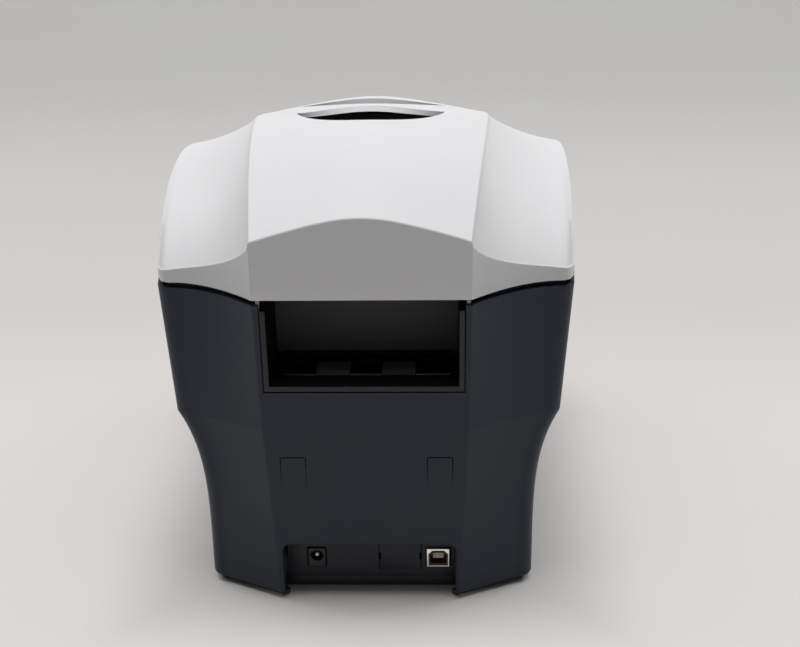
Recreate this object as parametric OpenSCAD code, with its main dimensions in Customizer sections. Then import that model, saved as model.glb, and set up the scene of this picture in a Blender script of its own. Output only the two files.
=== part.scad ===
// Desktop card printer: sculpted two-part housing, hinged lid with a finger grip, hopper bay, output
// niche with a fold-down flap, and the card transport and ribbon drive inside.
// Millimetres. +Z is up, the front faces -Y, and the origin is under the middle of the housing.

/* [Housing] */
// Length of the housing from front to rear
body_l = 270; // [250:2:300]
// Width of the housing across the top of the seam
body_w = 207; // [200:1:220]
// Height of the crown above the table
body_h = 230; // [226:1:240]
// Height of the waist crease
waist_z = 98.5; // [94:0.5:101]
// Half width of the housing at the foot
foot_half = 83.6; // [82:0.2:88]
// Outward lean of the side walls above the waist, in mm per mm of height
flare = 0.08; // [0.06:0.01:0.1]
// Plan radius of the four upright corners
corner_r = 7; // [5:0.5:9]
// Wall thickness of the lower case
case_wall = 2.6; // [2.2:0.1:2.8]
// Thickness of the case floor
floor_t = 2.5; // [2:0.1:3]
// How far the rear and front panels tuck in below the waist
panel_tuck = 2.5; // [1:0.5:4]

/* [Lid] */
// Height of the lid's lower edge across the rear
seam_rear = 166; // [165:0.5:168]
// Height of the lid's lower edge across the front
seam_front = 160; // [159:0.5:162]
// Height of the lid's lower edge at the top of its side arch
seam_top = 198.5; // [194:0.5:200]
// Height of the lid's edge above the seam along the sides
edge_h = 6; // [5:0.5:8]
// Height of the crown's middle at the rear edge
crown_rear = 205.3; // [202:0.5:210]
// Height of the crown's middle at the front edge
crown_front = 178; // [177:0.5:182]
// Skin thickness of the lid
lid_wall = 2.6; // [2.2:0.1:2.8]
// Gap between the lid's edge and the case
seam_gap = 2.7; // [2.6:0.1:3]
// Where the arch is highest, behind the middle
crest_y = 15; // [10:1:20]

/* [Finger grip] */
// Width of each crescent slot
grip_w = 78; // [60:1:80]
// Depth of the rear crescent
grip_rear_d = 21; // [16:0.5:24]
// Depth of the front crescent
grip_front_d = 15; // [12:0.5:18]
// Width of the bar between the crescents
grip_bar = 10; // [8:0.5:12]
// Where the middle of the bar is, behind the middle of the housing
grip_y = 20; // [18:1:22]

/* [Hopper bay] */
// Clear width of the bay
bay_w = 90; // [88:0.5:91]
// Height of the bay's floor
bay_floor_z = 121.8; // [121.5:0.1:122.2]
// Depth of the bay from the rear face
bay_depth = 36; // [34:1:38]
// Height of the gap under the bay's rear wall, where cards pass
gate_h = 3.1; // [2.9:0.1:6]
// Wall thickness of the moulded liners
liner_wall = 2.6; // [2.4:0.1:2.8]
// Running gap between a liner and the case
liner_gap = 0.6; // [0.4:0.1:0.8]

/* [Output niche] */
// Height of the niche's floor
niche_floor_z = 62.8; // [60:0.2:64]
// Depth of the niche from the front face
niche_depth = 66; // [64:1:66]
// Height of the fold-down flap
flap_h = 48; // [40:1:50]
// Thickness of the flap
flap_t = 2.5; // [2:0.1:2.6]

/* [Card path] */
// Height of the deck that cards slide on
deck_z = 123.5; // [123.3:0.1:123.7]
// Radius of the driven rollers
roller_r = 8.5; // [8:0.1:8.6]
// Radius of the roller shafts
shaft_r = 3; // [2.5:0.1:3.2]
// Spacing of the driven rollers along the path
roller_pitch = 52; // [52:1:52]
// Inner face of the chassis plates from the middle
plate_x = 48.6; // [48.4:0.1:49]
// Thickness of the chassis plates
plate_t = 2; // [1.5:0.1:2.2]
// Teeth on each roller's gear, module 1
roller_teeth = 18; // [18:1:18]
// Teeth on each idler gear, module 1
idler_teeth = 34; // [34:1:34]
// Teeth on the feed motor's pinion, module 1
feed_teeth = 14; // [12:1:14]

/* [Ribbon] */
// Distance of each spool from the print line
spool_y = 38; // [37:0.5:40]
// Height of the spools
spool_z = 160; // [159:0.5:162]
// Radius of the supply roll
supply_r = 22; // [18:0.5:22]
// Radius of the take-up roll
takeup_r = 15; // [13.5:0.5:15.5]
// Teeth on the take-up gear, module 1
takeup_teeth = 36; // [36:1:36]
// Teeth on the ribbon motor's pinion, module 1
ribbon_teeth = 12; // [12:1:12]

/* [Connector recess] */
// Half width of the recess
recess_half = 43.7; // [43.2:0.1:44.2]
// Height of the recess's top edge
recess_z = 32.7; // [31:0.5:34]
// Depth of the recess from the rear face
recess_d = 12; // [10:0.5:13]
// Height of the sockets' middle
socket_z = 17.7; // [17:0.1:18.4]
// Sideways place of the power socket
power_x = 27.9; // [26:0.1:30]
// Sideways place of the data socket
data_x = -34.8; // [-35.5:0.1:-34]

/* [Hidden] */
$fn = 48;

// General clearances
skim = 0.1;      // between faces that locate each other
slip = 0.3;      // between a moving piece and what it passes
fit = 0.05;      // radial clearance of a shaft in its bore

// Housing outline
half_l = body_l / 2;
foot_h = 3;                                  // rubber feet
base_z = 0.7;                                // lower edge of the base rim, just clear of the table
floor_top = foot_h + floor_t;
crease_foot = 45.6;
crease_waist = 49.4;
crease_seam = 50.8;
sweep_foot = 14.5;
sweep_waist = 18.5;
sweep_seam = 24.5;
cove_start = 15;                             // height where the cove below the waist begins
waist_half = body_w / 2 - flare * (seam_top - waist_z);
side_end = half_l - sweep_seam - corner_r;   // where the side wall meets the upright corner, at the seam
ridge_mid = 63.3;                            // half width of the crown at its widest
crown_round = 22;                            // how far the crown's ridge is rounded over

// Lid hinge, inside the rear corner of the skirt
hinge_y = half_l - 4.5;
hinge_z = seam_rear + 3;
hinge_r = 3;                                 // knuckle
hinge_pin_r = 1.4;
knuckle_x = 43;

// Chassis and card path
plate_out = plate_x + plate_t;
gear_x = plate_out + 0.6;
gear_w = 4.6;
shaft_z = deck_z + slip - roller_r;
back_y = half_l - bay_depth;                 // front end of the bay
niche_back = -half_l + niche_depth;          // rear end of the output niche
// The pick roller is under the cards in the bay, and the exit roller stays clear of the niche.
pick_y = max(back_y + 13, niche_back + roller_r + 4.5 + 3 * roller_pitch);
entry_y = pick_y - roller_pitch;
print_y = entry_y - roller_pitch;
exit_y = print_y - roller_pitch;
idler_step = roller_pitch / 2;
rubber_half = 40;
nip_z = deck_z + 0.8;                        // top of a card on the deck
clean_r = 6.5;
pinch_r = 6;
deck_front = niche_back + 3;
deck_rear = back_y - 3.6;
liner_x = bay_w / 2 + liner_wall;
liner_z = bay_floor_z - liner_wall;
rod_y = 13;                                  // film rods either side of the print line
rod_z = nip_z + 9.7;
rod_r = 2;
feed_z = shaft_z - (idler_teeth + feed_teeth) / 2;
feed_y = entry_y - idler_step;
// cross rods that tie the side plates
rod_places = [[back_y + 5, 96], [niche_back + 13, 100], [niche_back + 13, 18], [30, 18]];
ribbon_turn = 202;                           // where the ribbon pinion sits round the take-up gear
ribbon_reach = (takeup_teeth + ribbon_teeth) / 2;
ribbon_y = print_y - spool_y + ribbon_reach * cos(ribbon_turn);
ribbon_z = spool_z + ribbon_reach * sin(ribbon_turn);

// Output niche, tab covers, feet and lid fittings
niche_top = 134;
flap_y = -half_l + 3.9;
flap_z = niche_floor_z + 3.5;
tab_x = 35.85;
tab_z = 74.7;
foot_x = 60;
foot_y = 96;
plate_feet = [[58, -50], [58, 30], [58, 100]];
bracket_top = body_h - 24;
boss_x = 46;
button_half = 13.5;
button_z = seam_front + 7;
latch_y = -half_l + 15;
latch_z = seam_front + 11;
latch_r = 2;

// Rear sockets
recess_y = half_l - panel_tuck - recess_d;
panel_back = recess_y - 2.4;
blank_x = -15.2;                             // middle of the network opening
blank_z = 18.2;
blank_half = 11;
blank_rise = 8.6;
board_rear = panel_back - 4.1;               // rear edge of the main board
board_posts = [board_rear - 50, board_rear - 6];

function mix(a, b, t) = a + (b - a) * t;
function clip(t) = min(1, max(0, t));

// Rise of the arch: 1 at the crest and 0 at its two ends.
function arch(y, rear, front) =
    y > crest_y ? 1 - pow(clip((y - crest_y) / (rear - crest_y)), 2.2)
                : 1 - pow(clip((crest_y - y) / (front + crest_y)), 1.8);
function seam_z(y) = (y > crest_y ? seam_rear : seam_front)
    + (seam_top - (y > crest_y ? seam_rear : seam_front)) * arch(y, side_end, side_end);
function crown_z(y) = (y > crest_y ? crown_rear : crown_front)
    + (body_h - (y > crest_y ? crown_rear : crown_front)) * arch(y, half_l, half_l);
function crown_drop(x, y) = mix(0.195, 0.32, pow(clip(abs(y - crest_y) / half_l), 1.5))
    * (sqrt(x * x + crown_round * crown_round) - crown_round);

// Outline of the housing at height z: half width, crease, panel and the sweep of the wings.
function half_w(z) = z > waist_z ? waist_half + flare * (z - waist_z)
    : foot_half + (waist_half - foot_half) * pow(clip((z - cove_start) / (waist_z - cove_start)), 3.8);
function crease_x(z) = z > waist_z
    ? mix(crease_waist, crease_seam, clip((z - waist_z) / (seam_rear - waist_z)))
    : mix(crease_foot, crease_waist, clip((z - foot_h) / (waist_z - foot_h)));
function panel_y(z) = half_l - (z > waist_z ? 0 : panel_tuck * (1 - pow(clip(z / waist_z), 2.6)));
function sweep(z) = z > waist_z ? mix(sweep_waist, sweep_seam, clip((z - waist_z) / (seam_rear - waist_z)))
    : mix(sweep_foot, sweep_waist, clip(z / waist_z));
function sweep_power(z) = z > waist_z ? mix(1.4, 1.8, clip((z - waist_z) / (seam_rear - waist_z)))
    : mix(1.0, 1.4, clip(z / waist_z));

// One point of the rear wing's plan curve: t runs 0 to 1 from the crease to the side wall.
function wing_x(t, z, inset) = mix(crease_x(z) - 0.4 * inset, half_w(z) - inset, t);
function wing_y(t, z, inset) =
    let (x = wing_x(t, z, inset), bend_x = half_w(z) - corner_r,
         s = clip((x - crease_x(z)) / (bend_x - crease_x(z))),
         c = clip((x - bend_x) / (corner_r - inset)))
    panel_y(z) - inset - sweep(z) * (1 - pow(1 - s, sweep_power(z)))
        - (corner_r - inset) * (1 - sqrt(max(0, 1 - c * c)));

// Wing stations: spread evenly to the corner, and then closely round it.
function wing_t(n, round_n) = let (bend = 1 - corner_r / 51)
    concat([for (i = [0:n]) bend * i / n], [for (i = [1:round_n]) bend + (1 - bend) * sin(90 * i / round_n)]);

// Half outline on the +X side, from the rear crease round to the front crease, as [x, y] at heights z(y).
function half_outline(zs, inset, n, round_n, side_n) =
    let (ts = wing_t(n, round_n), m = len(ts))
    [for (k = [0:2 * m + side_n - 1])
        let (z = zs[k])
        k < m ? [wing_x(ts[k], z, inset), wing_y(ts[k], z, inset)]
        : k < m + side_n ? [half_w(z) - inset, mix(1, -1, (k - m + 1) / (side_n + 1)) * wing_y(1, z, inset)]
        : let (t = ts[2 * m + side_n - 1 - k]) [wing_x(t, z, inset), -wing_y(t, z, inset)]];
// How far back each outline point lies, used to set heights that follow the seam.
function outline_y(inset, n, round_n, side_n) =
    let (count = 2 * len(wing_t(n, round_n)) + side_n)
    [for (p = half_outline([for (k = [1:count]) seam_rear], inset, n, round_n, side_n)) p[1]];

// A closed ring of 3D points from the half outline and its mirror image.
function ring(zs, inset, n, round_n, side_n) =
    let (half = half_outline(zs, inset, n, round_n, side_n), m = len(half))
    concat([for (k = [0:m - 1]) [half[k][0], half[k][1], zs[k]]],
           [for (k = [m - 1:-1:0]) [-half[k][0], half[k][1], zs[k]]]);

// Skins a stack of equal rings into a closed solid, with a fan at each end.
module skinned(rings) {
    levels = len(rings);
    m = len(rings[0]);
    low = [0, 0, min([for (p = rings[0]) p[2]])];
    high = [0, 0, max([for (p = rings[levels - 1]) p[2]])];
    points = concat([for (r = rings) each r], [low, high]);
    faces = concat(
        [for (l = [0:levels - 2], k = [0:m - 1]) let (a = l * m + k, b = l * m + (k + 1) % m) [a, b, b + m]],
        [for (l = [0:levels - 2], k = [0:m - 1])
            let (a = l * m + k, b = l * m + (k + 1) % m) [a, b + m, a + m]],
        [for (k = [0:m - 1]) [(k + 1) % m, k, levels * m]],
        [for (k = [0:m - 1]) let (o = (levels - 1) * m) [o + k, o + (k + 1) % m, levels * m + 1]]);
    polyhedron(points, faces, convexity = 10);
}

// The case's solid form: levels below the waist, then levels that lean out to the rim.
module case_form(inset, bottom, extra_top, n, round_n, side_n, low_levels, edge_r) {
    ys = outline_y(inset, n, round_n, side_n);
    rim = [for (y = ys) seam_z(y) - seam_gap + extra_top];
    function flat(z) = [for (y = ys) z];
    function rising(t) = [for (r = rim) mix(waist_z, r, t)];
    function at(zs, extra) = ring(zs, inset + extra, n, round_n, side_n);
    edge = edge_r > 0 ? [at(flat(bottom), edge_r), at(flat(bottom + 0.3 * edge_r), 0.3 * edge_r)]
        : [at(flat(bottom), 0)];
    skinned(concat(edge, [for (z = low_levels) at(flat(z), 0)],
        [for (t = [0.33, 0.66, 1]) at(rising(t), 0)]));
}

// The foot's outline in plan, for the rim under the case
function foot_plan(inset) =
    let (ys = outline_y(inset, 9, 4, 9))
    [for (p = ring([for (y = ys) foot_h], inset, 9, 4, 9)) [p[0], p[1]]];

// A point of the lid's top: u is the station across, v runs 0 at the rear to 1 at the front.
// Stations within 1 of the middle lie on the crown, and those beyond lie on the wing.
function ridge_x(v) = ridge_mid - (ridge_mid - crease_seam) * pow(abs(2 * v - 1), 1.3);
function lid_top(u, v, inset) =
    let (side = sign(u), a = abs(u), t = clip(a - 1),
         y0 = (half_l - inset) * (1 - 2 * v),
         rear = wing_y(t, seam_rear, inset), front = -wing_y(t, seam_front, inset),
         y = a <= 1 ? y0 : mix(rear, front, v),
         edge_y = mix(wing_y(1, seam_rear, inset), -wing_y(1, seam_front, inset), v),
         edge_x = half_w(seam_z(edge_y) + edge_h / 2) - inset,
         rx = ridge_x(v) - 0.4 * inset,
         x = a <= 1 ? a * rx : mix(rx, edge_x, t),
         ridge_z = crown_z(y0) - crown_drop(rx, y0),
         wing_z = seam_z(edge_y) + edge_h,
         fall_end = 0.5 * pow(t, 0.5) + 0.5 - 0.5 * pow(1 - t, 2.2),
         fall_crest = 0.38 * pow(t, 0.5) + 0.62 - 0.62 * pow(1 - t, 1.6),
         fall = mix(fall_end, fall_crest, min(1, 1.5 - 3 * abs(v - 0.5))),
         z = a <= 1 ? crown_z(y0) - crown_drop(x, y0) : mix(ridge_z, wing_z, fall))
    [side * x, y, z];

// The lid's solid form. Its edge is rolled over by edge_r, and its skirt runs down to the seam.
module lid_form(inset, drop, crown_n, wing_n, row_n, edge_r, below) {
    us = concat([for (i = [wing_n:-1:1]) -1 - pow(i / wing_n, 1.5)],
                [for (i = [-crown_n:crown_n]) i / crown_n],
                [for (i = [1:wing_n]) 1 + pow(i / wing_n, 1.5)]);
    cols = len(us);
    rows = row_n + 1;
    function at(i, j, extra) = lid_top(us[i], 0.5 - 0.5 * cos(180 * j / row_n), inset + extra);
    rim_at = concat([for (i = [0:cols - 1]) [i, 0]], [for (j = [1:rows - 1]) [cols - 1, j]],
                    [for (i = [cols - 2:-1:0]) [i, rows - 1]], [for (j = [rows - 2:-1:1]) [0, j]]);
    m = len(rim_at);
    top = [for (j = [0:rows - 1], i = [0:cols - 1]) at(i, j, edge_r) - [0, 0, drop]];
    rolled = [for (r = rim_at) at(r[0], r[1], 0.3 * edge_r) - [0, 0, drop + 0.3 * edge_r]];
    shoulder = [for (r = rim_at) at(r[0], r[1], 0) - [0, 0, drop + edge_r]];
    hem = [for (r = rim_at) let (p = at(r[0], r[1], 0)) [p[0], p[1], seam_z(p[1]) - below]];
    inner_hem = [for (p = hem) [p[0] * 0.9, p[1] * 0.9, p[2]]];
    middle = [0, 0, seam_rear - below];
    points = concat(top, rolled, shoulder, hem, inner_hem, [middle]);
    base = rows * cols;
    function rim_index(k) = rim_at[k][1] * cols + rim_at[k][0];
    faces = concat(
        [for (j = [0:rows - 2], i = [0:cols - 2]) let (a = j * cols + i) [a, a + 1, a + cols + 1]],
        [for (j = [0:rows - 2], i = [0:cols - 2]) let (a = j * cols + i) [a, a + cols + 1, a + cols]],
        [for (k = [0:m - 1]) let (n = (k + 1) % m) [rim_index(k), base + n, rim_index(n)]],
        [for (k = [0:m - 1]) let (n = (k + 1) % m) [rim_index(k), base + k, base + n]],
        [for (l = [0:2], k = [0:m - 1]) let (n = (k + 1) % m, o = base + l * m) [o + k, o + m + n, o + n]],
        [for (l = [0:2], k = [0:m - 1])
            let (n = (k + 1) % m, o = base + l * m) [o + k, o + m + k, o + m + n]],
        [for (k = [0:m - 1]) let (n = (k + 1) % m, o = base + 3 * m) [o + k, base + 4 * m, o + n]]);
    polyhedron(points, faces, convexity = 10);
}

// Places children at x, y, z with their own Z along the part's +X, and their X along +Y.
module along_x(x, y, z) {
    translate([x, y, z]) rotate([90, 0, 90]) children();
}

module both_sides() {
    children();
    mirror([1, 0, 0]) children();
}

// A box between two opposite corners.
module span(low, high) {
    translate(low) cube(high - low);
}

// A rod along X from x0 to x1.
module rod(x0, x1, y, z, r) {
    along_x(x0, y, z) cylinder(h = x1 - x0, r = r);
}

// A module 1 spur gear along +X from x, with its first tooth turned to angle turn.
module gear(x, y, z, teeth, bore_r, turn) {
    pitch_r = teeth / 2;
    step = 360 / teeth;
    // each tooth: root, tip, tip and root as [radius, half thickness, side]
    outline = [for (i = [0:teeth - 1], c = [[-1.2, 0.75, -1], [0.8, 0.3, -1], [0.8, 0.3, 1], [-1.2, 0.75, 1]])
        let (r = pitch_r + c[0], a = i * step + c[2] * asin(c[1] / r)) [r * cos(a), r * sin(a)]];
    along_x(x, y, z) rotate([0, 0, turn]) difference() {
        linear_extrude(gear_w) polygon(outline);
        translate([0, 0, -1]) cylinder(h = gear_w + 2, r = bore_r);
        if (pitch_r > 12)
            translate([0, 0, gear_w - 1.2]) difference() {
                cylinder(h = 2, r = pitch_r - 3);
                translate([0, 0, -1]) cylinder(h = 4, r = bore_r + 2.6);
            }
    }
}

// A crescent between two arcs that meet at its tips, bulging to the rear.
module crescent(tip_y, near_rise, far_rise) {
    half = grip_w / 2;
    far_r = (half * half + far_rise * far_rise) / (2 * far_rise);
    near_r = (half * half + near_rise * near_rise) / (2 * near_rise);
    translate([0, tip_y]) difference() {
        translate([0, far_rise - far_r]) circle(far_r, $fn = 96);
        translate([0, near_rise - near_r]) circle(near_r, $fn = 180);
    }
}

module vent_slot(x, y) {
    hull() {
        translate([x, y - 14, 0]) cylinder(h = 8, r = 1.6, $fn = 16);
        translate([x, y + 14, 0]) cylinder(h = 8, r = 1.6, $fn = 16);
    }
}

// Housing

module lower_case() {
    low = [9, 20, 40, 58, 72, 84, 92, waist_z];
    front_skin = -half_l + case_wall;
    color([0.17, 0.175, 0.19]) difference() {
        union() {
            difference() {
                case_form(0, foot_h, 0, 9, 4, 9, low, 2.4);
                case_form(case_wall, floor_top, 6, 9, 4, 9, low, 0);
            }
            // base rim, which runs in along the recess
            translate([0, 0, base_z]) linear_extrude(foot_h - base_z + 0.4) difference() {
                polygon(foot_plan(3));
                polygon(foot_plan(5.4));
            }
            span([-recess_half - 2, recess_y - 3.4, base_z], [recess_half + 2, recess_y, foot_h + 0.4]);
            both_sides()
                span([recess_half, recess_y - 3.4, base_z], [recess_half + 2, half_l - 6, foot_h + 0.4]);
            // posts under the main board
            for (x = [-38, 38], y = board_posts)
                translate([x, y, foot_h + 1]) cylinder(h = 6.5, r = 3, $fn = 24);
            // catches for the lid's hooks
            both_sides() span([22, front_skin - 1, seam_front - 5], [30, front_skin + 2.4, seam_front - 3]);
        }
        // hopper bay, open at the rear and on top
        span([-liner_x - liner_gap, half_l - 8, liner_z - liner_gap],
             [liner_x + liner_gap, half_l + 2, body_h]);
        // connector recess, open underneath
        difference() {
            span([-recess_half, recess_y - 1, 0], [recess_half, half_l + 2, recess_z]);
            both_sides() translate([recess_half - 4, 0, recess_z - 4]) difference() {
                span([0, recess_y - 2, 0], [5, half_l + 3, 5]);
                translate([0, recess_y - 3, 0]) rotate([-90, 0, 0]) cylinder(h = 40, r = 4, $fn = 24);
            }
        }
        // output niche, control panel and tab covers
        span([-liner_x - liner_gap, -half_l - 2, niche_floor_z - liner_wall - liner_gap],
             [liner_x + liner_gap, -half_l + 10, niche_top + liner_gap]);
        span([-18.4, -half_l - 2, seam_front - 20.4], [18.4, -half_l + 10, seam_front - 6.6]);
        both_sides() span([tab_x - 6.4, half_l - 10, tab_z - 8.9], [tab_x + 6.4, half_l + 2, tab_z + 8.9]);
        // cooling slots and foot sockets in the floor
        for (x = [-66:12:66], y = [-64, 26]) vent_slot(x, y);
        for (x = [-foot_x, foot_x], y = [-foot_y, foot_y])
            translate([x, y, 0]) cylinder(h = 5, r = 2.4, $fn = 24);
        for (p = plate_feet) both_sides() translate([p[0], p[1], 0]) cylinder(h = 8, r = 1.6, $fn = 24);
    }
}

module rubber_feet() {
    color([0.05, 0.05, 0.055]) for (x = [-foot_x, foot_x], y = [-foot_y, foot_y]) translate([x, y, 0]) {
        cylinder(h = foot_h, r1 = 7.4, r2 = 8);
        cylinder(h = foot_h + 1.8, r = 2.3);
    }
}

module lid() {
    color([0.88, 0.88, 0.89]) difference() {
        union() {
            difference() {
                lid_form(0, 0, 6, 6, 22, 1.6, 0);
                lid_form(lid_wall, lid_wall, 6, 6, 22, 0, 8);
            }
            intersection() {
                lid_form(0.6 * lid_wall, 0.6 * lid_wall, 6, 6, 22, 0, 0);
                union() {
                    // bosses with a foot that widens into the crown
                    both_sides() for (y = [print_y - 20, print_y + 20]) lid_boss(boss_x, y, bracket_top + 2);
                    both_sides() for (y = [hinge_y - 34.5, hinge_y - 20.5])
                        lid_boss(knuckle_x + 2.4, y, hinge_z + 23);
                    // cross ribs
                    for (y = [-84, 72]) difference() {
                        span([-52, y - 0.9, 150], [52, y + 0.9, body_h]);
                        lid_form(lid_wall + 4, lid_wall + 4, 6, 6, 22, 0, 20);
                    }
                }
            }
        }
        // finger grip
        translate([0, 0, body_h - 30]) linear_extrude(40) {
            crescent(grip_y, grip_bar / 2, grip_bar / 2 + grip_rear_d);
            crescent(grip_y - grip_bar / 2 - grip_front_d - 4.5, 4.5, grip_front_d + 4.5);
        }
        // release button window, and room for the hinge knuckles
        span([-button_half - slip, -half_l - 1, button_z - 3.8],
             [button_half + slip, -half_l + 6, button_z + 3.8]);
        both_sides() rod(knuckle_x - slip, plate_out + slip, hinge_y, hinge_z, hinge_r + slip, $fn = 32);
    }
}

module lid_boss(x, y, low) {
    hull() {
        translate([x, y, low]) cylinder(h = 1, r = 3.4, $fn = 20);
        translate([x, y, body_h]) cylinder(h = 1, r = 5.2, $fn = 20);
    }
}

// Rear fittings

module bay_liner() {
    inner = bay_w / 2;
    color([0.13, 0.13, 0.14]) difference() {
        union() {
            span([-liner_x, back_y - 3.2, liner_z], [liner_x, half_l - 0.2, bay_floor_z]);
            both_sides() span([inner, back_y, liner_z], [liner_x, half_l - 0.2, seam_rear - 6]);
        }
        // window for the pick roller
        span([-rubber_half - 1, pick_y - roller_r - 1, liner_z - 1],
             [rubber_half + 1, pick_y + roller_r + 1, bay_floor_z + 1]);
    }
}

module bay_back_panel() {
    low = bay_floor_z + gate_h;
    color([0.09, 0.09, 0.1]) difference() {
        span([-plate_x + skim, back_y - 3, low], [plate_x - skim, back_y - 0.4, seam_rear - 3]);
        // stiffening flutes on the chassis side
        for (x = [-30:15:30]) span([x - 4, back_y - 4, low + 6], [x + 4, back_y - 2, seam_rear - 9]);
    }
}

module tab_covers() {
    y0 = panel_y(tab_z - 8.5);
    y1 = panel_y(tab_z + 8.5);
    color([0.17, 0.175, 0.19]) both_sides() {
        along_x(tab_x - 6, 0, tab_z) linear_extrude(12)
            polygon([[y0 - 2.2, -8.5], [y0, -8.5], [y1, 8.5], [y1 - 2.2, 8.5]]);
        // clip that holds the cover behind the panel
        span([tab_x - 7.6, y0 - 4.1, tab_z + 5], [tab_x + 7.6, y0 - 2.2, tab_z + 8.4]);
    }
}

module connector_panel() {
    outer = recess_half + 2;
    rear = panel_y(recess_z) - case_wall - 0.5;
    color([0.08, 0.08, 0.09]) difference() {
        span([-outer, panel_back, base_z], [outer, rear, recess_z + 2]);
        difference() {
            span([-recess_half, recess_y, 0], [recess_half, rear + 1, recess_z]);
            both_sides() translate([recess_half - 4, 0, recess_z - 4]) difference() {
                span([0, recess_y - 2, 0], [5, rear + 3, 5]);
                translate([0, recess_y - 3, 0]) rotate([-90, 0, 0]) cylinder(h = 40, r = 4);
            }
        }
        // the floor of the case passes under the panel's side walls
        both_sides() span([recess_half - 0.1, panel_back - 1, 0], [outer + 1, rear + 1, floor_top + skim]);
        span([-outer - 1, panel_back - 1, 0], [outer + 1, recess_y - 0.9, floor_top + skim]);
        span([power_x - 4.8, panel_back - 1, socket_z - 5.8], [power_x + 4.8, recess_y + 1, socket_z + 5.8]);
        span([data_x - 6.4, panel_back - 1, socket_z - 5.9], [data_x + 6.4, recess_y + 1, socket_z + 5.9]);
        span([blank_x - blank_half, panel_back - 1, blank_z - blank_rise],
             [blank_x + blank_half, recess_y + 1, blank_z + blank_rise]);
    }
}

module network_blank() {
    color([0.1, 0.1, 0.11]) difference() {
        union() {
            span([blank_x - blank_half + 0.2, panel_back + 0.4, blank_z - blank_rise + 0.2],
                 [blank_x + blank_half - 0.2, recess_y - 0.3, blank_z + blank_rise - 0.2]);
            span([blank_x - blank_half + 1, recess_y - 0.4, blank_z - blank_rise + 0.8],
                 [blank_x + blank_half - 1, recess_y + 0.3, blank_z + blank_rise - 0.8]);
        }
        // snap slits at its two sides
        for (x = [blank_x - blank_half + 2.2, blank_x + blank_half - 2.8])
            span([x, panel_back - 1, socket_z - 3], [x + 0.8, recess_y + 2, socket_z + 5]);
    }
}

module power_socket() {
    color([0.07, 0.07, 0.075]) difference() {
        span([power_x - 4.5, recess_y - 13, socket_z - 5.5], [power_x + 4.5, recess_y + 0.8, socket_z + 5.5]);
        translate([power_x, recess_y - 9, socket_z]) rotate([-90, 0, 0]) cylinder(h = 12, r = 3.2);
    }
}

module power_pin() {
    color([0.75, 0.74, 0.7]) translate([power_x, recess_y - 9, socket_z]) rotate([-90, 0, 0])
        cylinder(h = 8.6, r = 1.25);
}

module data_socket_shell() {
    color([0.78, 0.78, 0.76]) translate([data_x, recess_y - 15, socket_z]) rotate([-90, 0, 0]) difference() {
        linear_extrude(16.2) polygon([[-6.02, 5.5], [6.02, 5.5], [6.02, -5.5], [-6.02, -5.5]]);
        translate([0, 0, 4]) linear_extrude(16) polygon(usb_outline(0));
    }
}

// Outline of the data socket's cavity: square below and chamfered at its upper corners (y runs down).
function usb_outline(inset) = let (w = 4.95 - inset, h = 4.55 - inset, c = 2)
    [[-w, h], [w, h], [w, -h + c], [w - c, -h], [-w + c, -h], [-w, -h + c]];

module data_socket_insert() {
    color([0.2, 0.13, 0.09]) translate([data_x, recess_y - 15, socket_z]) rotate([-90, 0, 0]) {
        translate([0, 0, 4]) linear_extrude(2) polygon(usb_outline(0.05));
        translate([0, 0, 4]) linear_extrude(11) polygon([[-2.7, 1.5], [2.7, 1.5], [2.7, -1.5], [-2.7, -1.5]]);
    }
}

// Base electronics and chassis

module main_board() {
    color([0.1, 0.32, 0.16]) difference() {
        span([-44, board_rear - 56, 10.6], [44, board_rear, 12.1]);
        for (x = [-38, 38], y = board_posts) translate([x, y, 10]) cylinder(h = 4, r = 1.6);
    }
}

module board_parts() {
    color([0.12, 0.12, 0.13]) translate([0, board_rear, 12.15]) {
        span([-12, -36, 0], [6, -18, 2.05]);
        span([16, -48, 0], [28, -40, 1.65]);
        span([-34, -44, 0], [-26, -18, 5.85]);
        span([30, -30, 0], [36, -14, 6.85]);
        for (p = [[14, -24], [22, -24], [14, -12], [-20, -50]])
            translate([p[0], p[1], 0]) cylinder(h = 11, r = 3.2);
    }
}

// Where every shaft and rod passes through the side plates, as [y, z, bore radius].
function plate_bores() = concat(
    [for (y = [pick_y, entry_y, print_y, exit_y]) [y, shaft_z, shaft_r + fit]],
    [[entry_y, nip_z + clean_r, 2.5 + fit], [exit_y, nip_z + pinch_r, 2.5 + fit]],
    [for (y = [pick_y, entry_y, print_y]) [y - idler_step, shaft_z, 2 + fit]],
    [for (y = [print_y + spool_y, print_y - spool_y]) [y, spool_z, shaft_r + fit]],
    [for (y = [print_y + rod_y, print_y - rod_y]) [y, rod_z, rod_r]],
    [[hinge_y, hinge_z, hinge_pin_r + fit], [feed_y, feed_z, 5]],
    [for (p = rod_places) [p[0], p[1], 2.5]]);

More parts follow.
